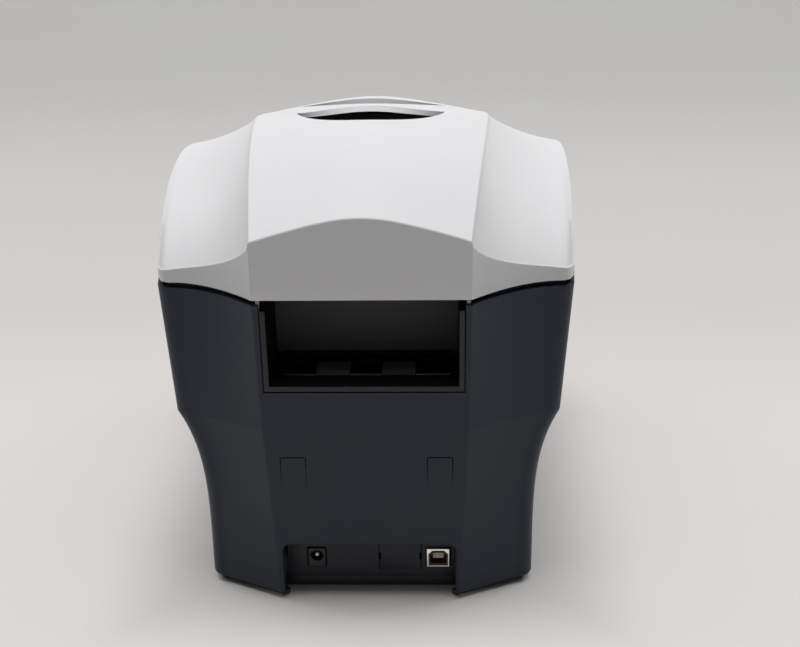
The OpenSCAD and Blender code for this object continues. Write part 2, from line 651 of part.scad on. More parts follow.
module side_plates() {
    front = niche_back + 5;
    rear = half_l - 9;
    lower = [[front, 46], [front, floor_top + skim], [board_rear - 2, floor_top + skim], [board_rear - 2, 60],
        [rear, 84]];
    upper = [[rear, 158], [hinge_y - 6.4, hinge_z - 6.6], [hinge_y - 2.2, hinge_z - 2],
        [hinge_y - 2.2, hinge_z + 2], [hinge_y - 14.5, hinge_z + 2.8], [hinge_y - 26.5, 158],
        [hinge_y - 54.5, 156], [print_y + spool_y + 10, spool_z + 8], [print_y + spool_y - 10, spool_z + 8],
        [print_y + 22, 148], [print_y + 16, 141], [print_y - 16, 141], [print_y - 24, 150],
        [print_y - spool_y + 8, spool_z + 8], [print_y - spool_y - 8, spool_z + 8], [front, 138]];
    color([0.68, 0.69, 0.7]) both_sides() {
        difference() {
            union() {
                along_x(plate_x, 0, 0) linear_extrude(plate_t) polygon(concat(lower, upper));
                rod(plate_x, plate_out, hinge_y, hinge_z, hinge_r);
            }
            for (b = plate_bores()) rod(plate_x - 1, plate_out + 1, b[0], b[1], b[2]);
            // windows that lighten the plate
            span([plate_x - 1, exit_y - 8, 26], [plate_out + 1, exit_y + 32, 84]);
            span([plate_x - 1, entry_y - 4, 26], [plate_out + 1, pick_y - 12, 84]);
        }
        // feet folded outward
        for (p = plate_feet) difference() {
            span([plate_out, p[1] - 9, floor_top + skim], [p[0] + 6, p[1] + 9, floor_top + skim + plate_t]);
            translate([p[0], p[1], 0]) cylinder(h = 12, r = 1.7);
        }
    }
}

module chassis_screws() {
    color([0.6, 0.6, 0.62]) for (p = plate_feet) both_sides() translate([p[0], p[1], 0]) {
        top = floor_top + skim + plate_t;
        translate([0, 0, foot_h + 0.4]) cylinder(h = top - foot_h, r = 1.5);
        translate([0, 0, top]) difference() {
            cylinder(h = 2, r = 3);
            translate([-2.2, -0.35, 1]) cube([4.4, 0.7, 2]);
            translate([-0.35, -2.2, 1]) cube([0.7, 4.4, 2]);
        }
    }
}

module chassis_rods() {
    color([0.72, 0.72, 0.74]) {
        for (p = rod_places) rod(-plate_out, plate_out, p[0], p[1], 2.5);
        // the two that guide the ribbon are thinner
        for (y = [print_y + rod_y, print_y - rod_y]) rod(-plate_out, plate_out, y, rod_z, rod_r);
    }
}

module card_deck() {
    wall = plate_x - skim;
    color([0.16, 0.16, 0.17]) difference() {
        union() {
            span([-wall, deck_front, deck_z - 2.5], [wall, deck_rear, deck_z]);
            // rails that keep the card straight
            both_sides() span([43.3, deck_front, deck_z - 1], [45.3, deck_rear - 6, deck_z + 2]);
            both_sides() span([wall - 1.8, deck_front + 10, shaft_z + 3.4], [wall, deck_rear - 2, deck_z]);
        }
        for (y = [entry_y, print_y, exit_y])
            span([-rubber_half - 1, y - roller_r - 0.8, deck_z - 4],
                 [rubber_half + 1, y + roller_r + 0.8, deck_z + 4]);
        // lead-in for the card at the rear edge
        along_x(-43, 0, 0) linear_extrude(86)
            polygon([[deck_rear - 4, deck_z + 0.1], [deck_rear + 1, deck_z + 0.1],
                [deck_rear + 1, deck_z - 2]]);
    }
}

module feed_motor() {
    face = plate_x - skim;
    color([0.2, 0.2, 0.21]) difference() {
        union() {
            along_x(face - 30, feed_y, feed_z) translate([-16, -16, 0]) cube([32, 32, 30]);
            along_x(face - 32, feed_y, feed_z) cylinder(h = 4, r = 6);
        }
        rod(face - 24, face + 1, feed_y, feed_z, 2 + fit);
        for (a = [-12.5, 12.5], b = [-12.5, 12.5]) rod(face - 3, face + 1, feed_y + a, feed_z + b, 1.3);
        // the joints between the motor's end caps and its stack
        for (x = [face - 8, face - 24]) along_x(x, feed_y, feed_z) difference() {
            translate([-17, -17, 0]) cube([34, 34, 0.8]);
            translate([-15.4, -15.4, -1]) cube([30.8, 30.8, 3]);
        }
    }
}

module ribbon_motor() {
    face = gear_x + gear_w + 0.9;
    color([0.55, 0.55, 0.57]) difference() {
        union() {
            rod(face + 2, face + 24, ribbon_y, ribbon_z, 11.5);
            along_x(face, ribbon_y, ribbon_z) translate([-11, -18, 0]) cube([22, 30, 2]);
            // spacers to the side plate
            for (z = [-15, 9.5]) rod(plate_out + 0.05, face, ribbon_y - 8, ribbon_z + z, 2);
        }
        rod(face - 1, face + 16, ribbon_y, ribbon_z, 1.5 + fit);
    }
}

// The ribbon between the rolls, under both rods and the print head, as one thin strip.
module ribbon_film() {
    round_r = rod_r + 0.65;                  // clears the rod at the path's corners
    line_z = nip_z + 0.3;
    path = concat([[print_y + spool_y - supply_r - 0.6, spool_z]],
        [for (a = [0, -50, -100]) [print_y + rod_y + round_r * cos(a), rod_z + round_r * sin(a)]],
        [[print_y + 2, line_z], [print_y - 2, line_z]],
        [for (a = [-80, -130, -180]) [print_y - rod_y + round_r * cos(a), rod_z + round_r * sin(a)]],
        [[print_y - spool_y + takeup_r + 0.6, spool_z]]);
    last = len(path) - 1;
    // the strip's far side, one thickness below the path
    below = [for (i = [0:last])
        let (d = path[min(i + 1, last)] - path[max(i - 1, 0)], n = [-d[1], d[0]] / norm(d))
        path[i] + 0.25 * n];
    color([0.1, 0.12, 0.3]) along_x(-42, 0, 0) linear_extrude(84)
        polygon(concat(path, [for (i = [last:-1:0]) below[i]]));
}

// Output

module output_niche() {
    inner = bay_w / 2;
    front = -half_l + 1.8;
    color([0.1, 0.1, 0.11]) difference() {
        span([-liner_x, front, niche_floor_z - liner_wall], [liner_x, niche_back + liner_wall, niche_top]);
        span([-inner, front - 1, niche_floor_z], [inner, niche_back, niche_top - liner_wall]);
        // where the cards drop in
        span([-44.5, niche_back - 1, deck_z - 2.9], [44.5, niche_back + 4, niche_top - liner_wall]);
        // bores for the flap's pins
        rod(-liner_x - 1, liner_x + 1, flap_y, flap_z, 1.5 + fit);
    }
}

module output_flap() {
    half = bay_w / 2 - 0.4;
    color([0.15, 0.155, 0.17]) difference() {
        union() {
            span([-half, flap_y - 1.2, flap_z], [half, flap_y - 1.2 + flap_t, flap_z + flap_h]);
            rod(-half, half, flap_y, flap_z, 2.2);
            rod(-liner_x, liner_x, flap_y, flap_z, 1.5);
            for (x = [-30, 0, 30])
                span([x - 0.8, flap_y + 1, flap_z + 2], [x + 0.8, flap_y + 3, flap_z + flap_h - 6]);
        }
        // finger notch
        translate([0, flap_y - 5, flap_z + flap_h + 4]) rotate([-90, 0, 0]) cylinder(h = 10, r = 11);
    }
}

// Control panel on the front

module control_panel() {
    z0 = seam_front - 20;
    face = -half_l + 0.15;
    color([0.08, 0.08, 0.085]) difference() {
        union() {
            span([-18, face, z0], [18, face + 2.6, z0 + 13]);
            span([-19.4, -half_l + case_wall + skim, z0 - 1.4], [19.4, -half_l + case_wall + 1.6, z0 + 14.4]);
        }
        translate([9, face - 1, z0 + 6.5]) rotate([-90, 0, 0]) cylinder(h = 9, r = 4.6 + slip);
        for (x = [-12, -6, 0])
            translate([x, face - 1, z0 + 6.5]) rotate([-90, 0, 0]) cylinder(h = 9, r = 1.6);
    }
}

module power_button() {
    color([0.72, 0.73, 0.75]) translate([9, -half_l, seam_front - 13.5]) rotate([-90, 0, 0]) {
        difference() {
            cylinder(h = 5, r = 4.6);
            translate([0, 0, -20.7]) sphere(21.2, $fn = 64);
        }
        translate([0, 0, 4.6]) cylinder(h = 1.2, r = 5.6);
    }
}

module status_lamps() {
    color([0.5, 0.8, 0.55, 0.8]) for (x = [-12, -6, 0])
        translate([x, -half_l + 0.05, seam_front - 13.5]) rotate([-90, 0, 0]) cylinder(h = 7.8, r = 1.5);
}

module panel_board() {
    color([0.1, 0.32, 0.16])
        span([-17.5, -half_l + 7.9, seam_front - 20.5], [17.5, -half_l + 9.3, seam_front - 7]);
}

// Card transport

module shaft(y) {
    color([0.75, 0.75, 0.77]) rod(-plate_out - 1.4, gear_x + gear_w + 0.4, y, shaft_z, shaft_r);
}

module roller(y, tint) {
    color(tint) difference() {
        rod(-rubber_half, rubber_half, y, shaft_z, roller_r);
        rod(-rubber_half - 1, rubber_half + 1, y, shaft_z, shaft_r);
    }
}

module pick_roller() {
    color([0.14, 0.14, 0.15]) for (x = [-24, 8]) difference() {
        rod(x, x + 16, pick_y, shaft_z, roller_r);
        rod(x - 1, x + 17, pick_y, shaft_z, shaft_r);
    }
}
module entry_roller() { roller(entry_y, [0.14, 0.14, 0.15]); }
module platen_roller() { roller(print_y, [0.24, 0.25, 0.28]); }
module exit_roller() { roller(exit_y, [0.14, 0.14, 0.15]); }
module pick_shaft() { shaft(pick_y); }
module entry_shaft() { shaft(entry_y); }
module platen_shaft() { shaft(print_y); }
module exit_shaft() { shaft(exit_y); }
module roller_gear(y) { color([0.86, 0.85, 0.8]) gear(gear_x, y, shaft_z, roller_teeth, shaft_r, 0); }
module pick_gear() { roller_gear(pick_y); }
module entry_gear() { roller_gear(entry_y); }
module platen_gear() { roller_gear(print_y); }
module exit_gear() { roller_gear(exit_y); }

// An idler with its own stub, turning in a bore of the side plate.
module idler(y) {
    color([0.82, 0.81, 0.76]) {
        gear(gear_x, y, shaft_z, idler_teeth, 2, 180 / idler_teeth);
        rod(plate_x - 1, gear_x + gear_w, y, shaft_z, 2);
    }
}
module rear_idler() { idler(pick_y - idler_step); }
module middle_idler() { idler(entry_y - idler_step); }
module front_idler() { idler(print_y - idler_step); }

module feed_pinion() {
    color([0.72, 0.62, 0.36]) {
        gear(gear_x, feed_y, feed_z, feed_teeth, 1.9, 90 + 180 / feed_teeth);
        rod(plate_x - 20, gear_x + gear_w + 1, feed_y, feed_z, 2);
    }
}

module cleaning_roller() {
    color([0.32, 0.5, 0.72]) {
        rod(-rubber_half, rubber_half, entry_y, nip_z + clean_r, clean_r);
        rod(-plate_out - 1, plate_out + 1, entry_y, nip_z + clean_r, 2.5);
    }
}

module pinch_roller() {
    color([0.2, 0.2, 0.21]) {
        rod(-rubber_half, rubber_half, exit_y, nip_z + pinch_r, pinch_r);
        rod(-plate_out - 1, plate_out + 1, exit_y, nip_z + pinch_r, 2.5);
    }
}

// Ribbon

module spool(y, flange_r, tint) {
    color(tint) {
        rod(-43.4, 43.4, y, spool_z, 7);
        both_sides() difference() {
            rod(43.4, 45, y, spool_z, flange_r);
            for (a = [0:60:300]) rod(43, 46, y + 11 * cos(a), spool_z + 11 * sin(a), 2.4);
        }
        rod(-plate_out - 1, plate_out + 1, y, spool_z, shaft_r);
    }
}
module film_roll(y, r, tint) {
    color(tint) difference() {
        rod(-42, 42, y, spool_z, r);
        rod(-43, 43, y, spool_z, 7);
    }
}
module supply_spool() { spool(print_y + spool_y, supply_r + 1.3, [0.8, 0.8, 0.78]); }
module supply_film() { film_roll(print_y + spool_y, supply_r, [0.12, 0.14, 0.36]); }
module takeup_spool() { spool(print_y - spool_y, takeup_r + 2.2, [0.8, 0.8, 0.78]); }
module takeup_film() { film_roll(print_y - spool_y, takeup_r, [0.1, 0.1, 0.2]); }
module takeup_gear() {
    color([0.86, 0.85, 0.8]) difference() {
        union() {
            gear(gear_x, print_y - spool_y, spool_z, takeup_teeth, shaft_r, ribbon_turn);
            rod(plate_out + 0.3, gear_x + 1, print_y - spool_y, spool_z, 5);
        }
        rod(plate_out - 1, plate_out + 1 + skim, print_y - spool_y, spool_z, shaft_r);
    }
}
module ribbon_pinion() {
    color([0.72, 0.62, 0.36]) {
        gear(gear_x, ribbon_y, ribbon_z, ribbon_teeth, 1.4, ribbon_turn + 180 + 180 / ribbon_teeth);
        rod(gear_x - 0.3, gear_x + gear_w + 14, ribbon_y, ribbon_z, 1.5);
    }
}

// Lid fittings

// The closed tray under the finger grip.
module grip_well() {
    low = bracket_top + 3;
    y0 = grip_y - grip_bar / 2 - grip_front_d - 8;
    y1 = grip_y + grip_bar / 2 + grip_rear_d + 3.5;
    color([0.07, 0.07, 0.075]) difference() {
        span([-grip_w / 2 - 2.4, y0, low], [grip_w / 2 + 2.4, y1, low + 10.8]);
        span([-grip_w / 2 - 0.9, y0 + 1.5, low + 1.5], [grip_w / 2 + 0.9, y1 - 1.5, low + 13]);
    }
}

module hinge_arms() {
    top = hinge_z + 23;
    color([0.3, 0.31, 0.33]) both_sides() difference() {
        union() {
            rod(knuckle_x, plate_x - slip, hinge_y, hinge_z, hinge_r);
            along_x(knuckle_x, 0, 0) linear_extrude(plate_x - slip - knuckle_x) polygon([
                [hinge_y, hinge_z - hinge_r], [hinge_y + 1.6, hinge_z + 2.4],
                [hinge_y - 14.5, top - 3], [hinge_y - 14.5, top], [hinge_y - 40.5, top],
                [hinge_y - 40.5, top - 3], [hinge_y - 22.5, top - 4],
                [hinge_y - 4, hinge_z - hinge_r]]);
        }
        rod(knuckle_x - 1, plate_x + 1, hinge_y, hinge_z, hinge_pin_r);
    }
}

module hinge_pins() {
    color([0.8, 0.8, 0.82]) both_sides() rod(knuckle_x + 0.4, plate_out, hinge_y, hinge_z, hinge_pin_r);
}

module head_bracket() {
    top = bracket_top + 1;                   // the cheeks run up into the top plate
    cheek = [[print_y - 9, top], [print_y - 9, rod_z + 42], [print_y - 8, rod_z + 9],
        [print_y - 6, rod_z + 6], [print_y + 6, rod_z + 6], [print_y + 8, rod_z + 9],
        [print_y + 9, rod_z + 42], [print_y + 9, top]];
    color([0.7, 0.71, 0.72]) {
        // top plate, screwed to four bosses of the lid
        difference() {
            span([-boss_x - 5, print_y - 25, bracket_top], [boss_x + 5, print_y + 25, bracket_top + 2]);
            both_sides() for (y = [print_y - 20, print_y + 20])
                translate([boss_x, y, bracket_top - 1]) cylinder(h = 5, r = 1.6);
        }
        both_sides() difference() {
            along_x(41.6, 0, 0) linear_extrude(2) polygon(cheek);
            span([41, print_y - 5, rod_z + 18], [44, print_y + 5, rod_z + 34]);
            span([41, print_y - 5, rod_z + 46], [44, print_y + 5, max(rod_z + 47, bracket_top - 5)]);
            // slots the head's ears slide in
            span([41, print_y - 1.6, rod_z + 6.8], [44, print_y + 1.6, rod_z + 14]);
        }
        span([-41.7, print_y - 3, rod_z + 37], [41.7, print_y + 3, rod_z + 39]);
    }
}

module print_head() {
    low = nip_z + 1.4;
    color([0.62, 0.63, 0.65]) {
        along_x(-41, 0, 0) linear_extrude(82) polygon([[print_y - 2.6, low], [print_y + 2.6, low],
            [print_y + 5.4, low + 6], [print_y + 5.4, rod_z + 9], [print_y - 5.4, rod_z + 9],
            [print_y - 5.4, low + 6]]);
        // cooling fins
        for (y = [-4.8, -1.6, 1.6]) span([-38, print_y + y, rod_z + 8], [38, print_y + y + 1.4, rod_z + 16]);
        both_sides() rod(40, 43.4, print_y, rod_z + 8.6, 1.3);
    }
}

module heating_strip() {
    color([0.9, 0.88, 0.82]) difference() {
        span([-41, print_y - 2.2, nip_z + 0.7], [41, print_y + 2.2, nip_z + 1.4]);
        for (y = [-2.4, 1.4]) span([-42, print_y + y, nip_z], [42, print_y + y + 1, nip_z + 0.9]);
    }
}

module latch_bearings() {
    top = latch_z + 3.6;
    color([0.3, 0.31, 0.33]) both_sides() difference() {
        union() {
            along_x(30.4, 0, 0) linear_extrude(3.6) polygon([[latch_y - 4, latch_z - 4],
                [latch_y + 4, latch_z - 4], [latch_y + 4, top], [latch_y - 0.5, top],
                [latch_y - 4, latch_z]]);
            span([30.4, -half_l + case_wall + skim, latch_z - 3], [34, latch_y, latch_z]);
        }
        rod(29, 35, latch_y, latch_z, latch_r + fit);
    }
}

module latch_hooks() {
    nose_y = -half_l + case_wall + 3.2;
    color([0.36, 0.37, 0.4]) {
        rod(-35, 35, latch_y, latch_z, latch_r);
        rod(-29, 29, latch_y, latch_z, 3.4);
        both_sides() along_x(23, 0, 0) linear_extrude(6) polygon([
            [latch_y + 3, latch_z], [latch_y - 3.2, latch_z - 1],
            [nose_y + 3.4, seam_front - 1], [nose_y + 3.4, seam_front - 5.4], [nose_y, seam_front - 5.4],
            [nose_y + 4, seam_front - 9.5], [nose_y + 6.6, seam_front - 9.5]]);
        // lever that the release button pushes
        along_x(-7, 0, 0) linear_extrude(14) polygon([[latch_y + 2, latch_z - 2], [latch_y, latch_z + 3],
            [latch_y - 9.4, latch_z - 4.5], [latch_y - 9.4, latch_z - 8.6]]);
    }
}

module release_button() {
    face = -half_l + 0.2;
    color([0.42, 0.44, 0.47]) {
        span([-button_half, face, button_z - 3.5], [button_half, -half_l + case_wall + 1, button_z + 3.5]);
        span([-button_half - 2, -half_l + case_wall + slip, button_z - 4.8],
             [button_half + 2, -half_l + case_wall + 1.4, button_z + 4.8]);
        span([-6, -half_l + 3, button_z - 4.4], [6, latch_y - 9.7, button_z - 0.6]);
    }
}

lower_case();
rubber_feet();
bay_liner();
bay_back_panel();
tab_covers();
connector_panel();
network_blank();
power_socket();
power_pin();
data_socket_shell();
data_socket_insert();
main_board();
board_parts();
side_plates();
chassis_rods();
chassis_screws();
card_deck();
feed_motor();
ribbon_motor();
ribbon_film();
output_niche();
output_flap();
control_panel();
panel_board();
power_button();
status_lamps();
pick_roller();
pick_shaft();
pick_gear();
entry_roller();
entry_shaft();
entry_gear();
platen_roller();
platen_shaft();
platen_gear();
exit_roller();
exit_shaft();
exit_gear();
rear_idler();
middle_idler();
front_idler();
feed_pinion();
cleaning_roller();
pinch_roller();
supply_spool();
supply_film();
takeup_spool();
takeup_film();
takeup_gear();
ribbon_pinion();
lid();
grip_well();
hinge_arms();
hinge_pins();
head_bracket();
print_head();
heating_strip();
latch_bearings();
latch_hooks();
release_button();
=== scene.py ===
import math

import bmesh
import bpy
from mathutils import Matrix, Vector


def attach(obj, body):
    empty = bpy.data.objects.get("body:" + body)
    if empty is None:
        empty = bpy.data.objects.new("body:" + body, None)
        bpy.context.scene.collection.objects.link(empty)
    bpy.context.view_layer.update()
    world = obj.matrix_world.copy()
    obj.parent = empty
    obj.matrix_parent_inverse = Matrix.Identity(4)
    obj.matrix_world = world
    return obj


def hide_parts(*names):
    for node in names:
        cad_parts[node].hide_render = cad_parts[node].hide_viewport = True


bl_info = {
    "name": "Desktop card printer",
    "version": (1, 0, 0),
    "blender": (4, 5, 0),
    "location": "3D View > Sidebar > Card printer",
    "description": "Moulded shells, fittings, finishes and studio for a desktop card printer",
    "category": "Object",
}

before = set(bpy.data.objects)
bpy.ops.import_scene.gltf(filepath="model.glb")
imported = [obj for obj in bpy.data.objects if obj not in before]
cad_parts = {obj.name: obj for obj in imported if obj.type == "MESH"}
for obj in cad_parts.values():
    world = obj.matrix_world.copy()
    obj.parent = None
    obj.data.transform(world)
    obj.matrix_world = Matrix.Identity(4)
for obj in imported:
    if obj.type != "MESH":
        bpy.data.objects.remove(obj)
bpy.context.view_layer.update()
MM = 0.001


# Sizes and colours that a user may change


class PrinterSizes(bpy.types.PropertyGroup):
    """Sizes of the shells, matched to the solid part"""

    body_l: bpy.props.FloatProperty(
        name="Length", description="Housing from front to rear", default=0.270, unit="LENGTH")
    waist_z: bpy.props.FloatProperty(
        name="Waist height", description="Height of the waist crease", default=0.0985, unit="LENGTH")
    seam_rear: bpy.props.FloatProperty(
        name="Rear seam", description="Height of the lid's rear lower edge", default=0.166, unit="LENGTH")
    wall: bpy.props.FloatProperty(
        name="Wall", description="Wall thickness of both shells", default=0.0024, unit="LENGTH")
    crease_round: bpy.props.FloatProperty(
        name="Crease rounding", description="Half width of the rounding on the creases", default=0.0006,
        unit="LENGTH")


class PrinterColours(bpy.types.PropertyGroup):
    """Base colours of the finishes"""

    lid: bpy.props.FloatVectorProperty(
        name="Lid", description="Pale moulded lid", default=(0.74, 0.74, 0.755), subtype="COLOR")
    case: bpy.props.FloatVectorProperty(
        name="Case", description="Dark moulded case", default=(0.0158, 0.0205, 0.0335), subtype="COLOR")
    # the black also colours the rim under the case's foot, which is painted shade
    black: bpy.props.FloatVectorProperty(
        name="Black mouldings", description="Niche, deck and the case's underside",
        default=(0.012, 0.012, 0.014), subtype="COLOR")
    steel: bpy.props.FloatVectorProperty(
        name="Steel", description="Plates and brackets", default=(0.56, 0.57, 0.58), subtype="COLOR")


def sizes():
    return bpy.context.scene.printer_sizes


def colours():
    return bpy.context.scene.printer_colours


# Shape of the housing, in millimetres, as in the solid part


def mix(a, b, t):
    return a + (b - a) * t


def clip(t):
    return min(1.0, max(0.0, t))


class Housing:
    """The housing's outline, seam and crown as functions of height and depth"""

    # the plan outline: half widths of foot and seam, the creases beside the panels, the wings' sweep
    foot_half, seam_half, flare, corner_r = 83.6, 103.5, 0.08, 7.0
    crease_foot, crease_waist, crease_seam = 45.6, 49.4, 50.8
    sweep_foot, sweep_waist, sweep_seam = 14.5, 18.5, 24.5
    sweep_bends = (1.0, 1.4, 1.8)
    # the share of an inset by which the creases move inwards
    crease_shift = 0.4
    # the foot's rounding, the cove below the waist and the panels' tuck towards the foot
    foot_h, foot_round, cove_start, cove_bend, tuck, tuck_bend = 3.0, 2.4, 15.0, 3.8, 2.5, 2.6
    # the arched seam and the lid's edge above it
    seam_front, seam_top, seam_gap = 160.0, 198.5, 2.7
    edge_h, lid_inset, edge_swell = 6.0, 0.9, 1.1
    # the crown along the middle, its drop to both sides, and the ridge where the wings begin
    crown_rear, crown_front, crown_top, crest_y = 205.3, 178.0, 230.7, 15.0
    arch_rear, arch_front = 2.2, 1.8
    drop_crest, drop_end, drop_bend, crown_round = 0.195, 0.37, 1.5, 22.0
    ridge_mid, ridge_bend = 63.3, 1.3
    # a wing's fall from ridge to edge: share and power of its first part, power of the rest
    fall_end, fall_crest = (0.62, 0.42, 3.0), (0.38, 0.5, 1.6)
    # rough widths that turn the creases' rounding into a share of panel, wing and upper side
    panel_width, wing_width, rise_height = 50, 51, 70

    def __init__(self):
        size = sizes()
        self.half_l = size.body_l / MM / 2
        self.waist_z = size.waist_z / MM
        self.seam_rear = size.seam_rear / MM
        self.wall = size.wall / MM
        self.near = size.crease_round / MM
        self.waist_half = self.seam_half - self.flare * (self.seam_top - self.waist_z)
        self.side_end = self.half_l - self.sweep_seam - self.corner_r

    def arch(self, y, rear, front):
        if y > self.crest_y:
            return 1 - clip((y - self.crest_y) / (rear - self.crest_y)) ** self.arch_rear
        return 1 - clip((self.crest_y - y) / (front + self.crest_y)) ** self.arch_front

    def seam(self, y):
        low = self.seam_rear if y > self.crest_y else self.seam_front
        return low + (self.seam_top - low) * self.arch(y, self.side_end, self.side_end)

    def crown(self, y):
        low = self.crown_rear if y > self.crest_y else self.crown_front
        return low + (self.crown_top - low) * self.arch(y, self.half_l, self.half_l)

    def crown_drop(self, x, y):
        away = clip(abs(y - self.crest_y) / self.half_l)
        slope = mix(self.drop_crest, self.drop_end, away ** self.drop_bend)
        return slope * (math.hypot(x, self.crown_round) - self.crown_round)

    def half(self, z):
        if z > self.waist_z:
            return self.waist_half + self.flare * (z - self.waist_z)
        rise = clip((z - self.cove_start) / (self.waist_z - self.cove_start))
        return self.foot_half + (self.waist_half - self.foot_half) * rise ** self.cove_bend

    def between(self, z, foot, waist, seam, start=0.0):
        if z > self.waist_z:
            return mix(waist, seam, clip((z - self.waist_z) / (self.seam_rear - self.waist_z)))
        return mix(foot, waist, clip((z - start) / (self.waist_z - start)))

    def crease(self, z):
        return self.between(z, self.crease_foot, self.crease_waist, self.crease_seam, self.foot_h)

    def panel(self, z):
        return self.half_l - self.tuck * (1 - clip(z / self.waist_z) ** self.tuck_bend)

    def sweep(self, z):
        return self.between(z, self.sweep_foot, self.sweep_waist, self.sweep_seam)

    def wing_x(self, t, z, inset):
        return mix(self.crease(z) - self.crease_shift * inset, self.half(z) - inset, t)

    def wing_y(self, t, z, inset):
        x = self.wing_x(t, z, inset)
        bend = self.half(z) - self.corner_r
        crease = self.crease(z)
        s = clip((x - crease) / (bend - crease))
        c = clip((x - bend) / (self.corner_r - inset))
        curve = self.sweep(z) * (1 - (1 - s) ** self.between(z, *self.sweep_bends))
        return self.panel(z) - inset - curve - (self.corner_r - inset) * (1 - math.sqrt(max(0, 1 - c * c)))

    def outline(self, side, where, z, inset):
        """A point (x, y) of the case at a height, for a side and a station (kind, parameter)"""
        kind, t = where
        if kind == "side":
            return side * (self.half(z) - inset), mix(1, -1, t) * self.wing_y(1, z, inset)
        if kind in ("rear", "front"):
            x, y = t * (self.crease(z) - self.crease_shift * inset), self.panel(z) - inset
        else:
            x, y = self.wing_x(t, z, inset), self.wing_y(t, z, inset)
        return side * x, y if kind in ("rear", "wing") else -y

    def rim(self, side, where):
        """Height of the case's rim at a station, under the seam's gap"""
        return self.seam(self.outline(side, where, self.seam_rear, 0.0)[1]) - self.seam_gap

    def half_outline(self):
        """Stations of half the outline, from the middle of the rear panel to the middle of the front"""
        wing = self.wing_stations(30, 10)
        panel = [i / 16 for i in range(16)] + [1 - self.near / self.panel_width]
        side = [("side", (i + 1) / 61) for i in range(60)]
        return ([("rear", x) for x in panel] + [("wing", t) for t in wing] + side
                + [("nose", t) for t in reversed(wing)] + [("front", x) for x in reversed(panel)])

    def wing_stations(self, n, round_n):
        """Shares of a wing: one close to the crease, then spread to the corner and closely round it"""
        bend = 1 - self.corner_r / self.wing_width
        return [0.0, self.near / self.panel_width] + [bend * i / n for i in range(1, n + 1)] + [
            bend + (1 - bend) * math.sin(math.pi / 2 * i / round_n) for i in range(1, round_n + 1)]

    def ridge(self, v):
        return self.ridge_mid - (self.ridge_mid - self.crease_seam) * abs(2 * v - 1) ** self.ridge_bend

    def wing_line(self, t, v, inset):
        """Depth of the lid's wing at share t, v running from the rear to the front"""
        return mix(self.wing_y(t, self.seam_rear, inset), -self.wing_y(t, self.seam_front, inset), v)

    def fall(self, t, share, start, end):
        return share * t ** start + (1 - share) - (1 - share) * (1 - t) ** end

    def lid_top(self, u, v, inset):
        """A point of the lid's top: u runs across (the crown within 1 of the middle), v rear to front"""
        side, a = (1 if u >= 0 else -1), abs(u)
        y0 = (self.half_l - inset) * (1 - 2 * v)
        rx = self.ridge(v) - self.crease_shift * inset
        if a <= 1:
            x = a * rx
            return (side * x, y0, self.crown(y0) - self.crown_drop(x, y0))
        t = clip(a - 1)
        edge_y = self.wing_line(1, v, inset)
        edge_x = self.half(self.seam(edge_y) + self.edge_h / 2) - self.lid_inset - inset
        swell = self.edge_swell * self.arch(edge_y, self.side_end, self.side_end)
        edge_z = self.seam(edge_y) + self.edge_h + swell
        ridge_z = self.crown(y0) - self.crown_drop(rx, y0)
        # the crest's fall holds over the middle third and gives way to the other at the two ends
        crest = min(1, 1.5 - 3 * abs(v - 0.5))
        fall = mix(self.fall(t, *self.fall_end), self.fall(t, *self.fall_crest), crest)
        return (side * mix(rx, edge_x, t), self.wing_line(t, v, inset), mix(ridge_z, edge_z, fall))


# Mesh helpers


def finish_piece(bm, name, body, material, replaced, sharp=32.0):
    """Turns a bmesh in millimetres into a finished piece that rides a body and stands for solids"""
    bmesh.ops.remove_doubles(bm, verts=bm.verts, dist=1e-4)
    bmesh.ops.recalc_face_normals(bm, faces=bm.faces)
    bmesh.ops.scale(bm, vec=(MM, MM, MM), verts=bm.verts)
    for face in bm.faces:
        face.smooth = True
    mesh = bpy.data.meshes.new(name)
    bm.to_mesh(mesh)
    bm.free()
    mesh.set_sharp_from_angle(angle=math.radians(sharp))
    mesh.materials.append(material)
    piece = bpy.data.objects.new(name, mesh)
    bpy.context.scene.collection.objects.link(piece)
    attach(piece, body)
    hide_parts(*replaced)
    return piece


def second(piece, material, chosen):
    """Gives a second finish to the faces whose middle, in metres, is chosen"""
    piece.data.materials.append(material)
    for face in piece.data.polygons:
        if chosen(face.center):
            face.material_index = 1


def loose_object(bm, name):
    """A working object in millimetres, for modifiers and cuts"""
    mesh = bpy.data.meshes.new(name)
    bm.to_mesh(mesh)
    bm.free()
    piece = bpy.data.objects.new(name, mesh)
    bpy.context.scene.collection.objects.link(piece)
    return piece


def worked(piece):
    """The mesh that a working object's modifiers make, as a bmesh; the object is removed"""
    graph = bpy.context.evaluated_depsgraph_get()
    mesh = bpy.data.meshes.new_from_object(piece.evaluated_get(graph))
    bm = bmesh.new()
    bm.from_mesh(mesh)
    bpy.data.meshes.remove(mesh)
    old = piece.data
    bpy.data.objects.remove(piece)
    bpy.data.meshes.remove(old)
    return bm


def walled(bm, name, wall, even, width, segments, angle):
    """Gives an open skin a wall on its inside and bevels the edges sharper than the angle"""
    piece = loose_object(bm, name)
    solid = piece.modifiers.new("wall", "SOLIDIFY")
    solid.thickness, solid.offset, solid.use_even_offset, solid.use_rim = wall, -1, even, True
    edge = piece.modifiers.new("edge", "BEVEL")
    edge.width, edge.segments, edge.limit_method = width, segments, "ANGLE"
    edge.angle_limit = math.radians(angle)
    bm = worked(piece)
    bmesh.ops.recalc_face_normals(bm, faces=bm.faces)
    return bm


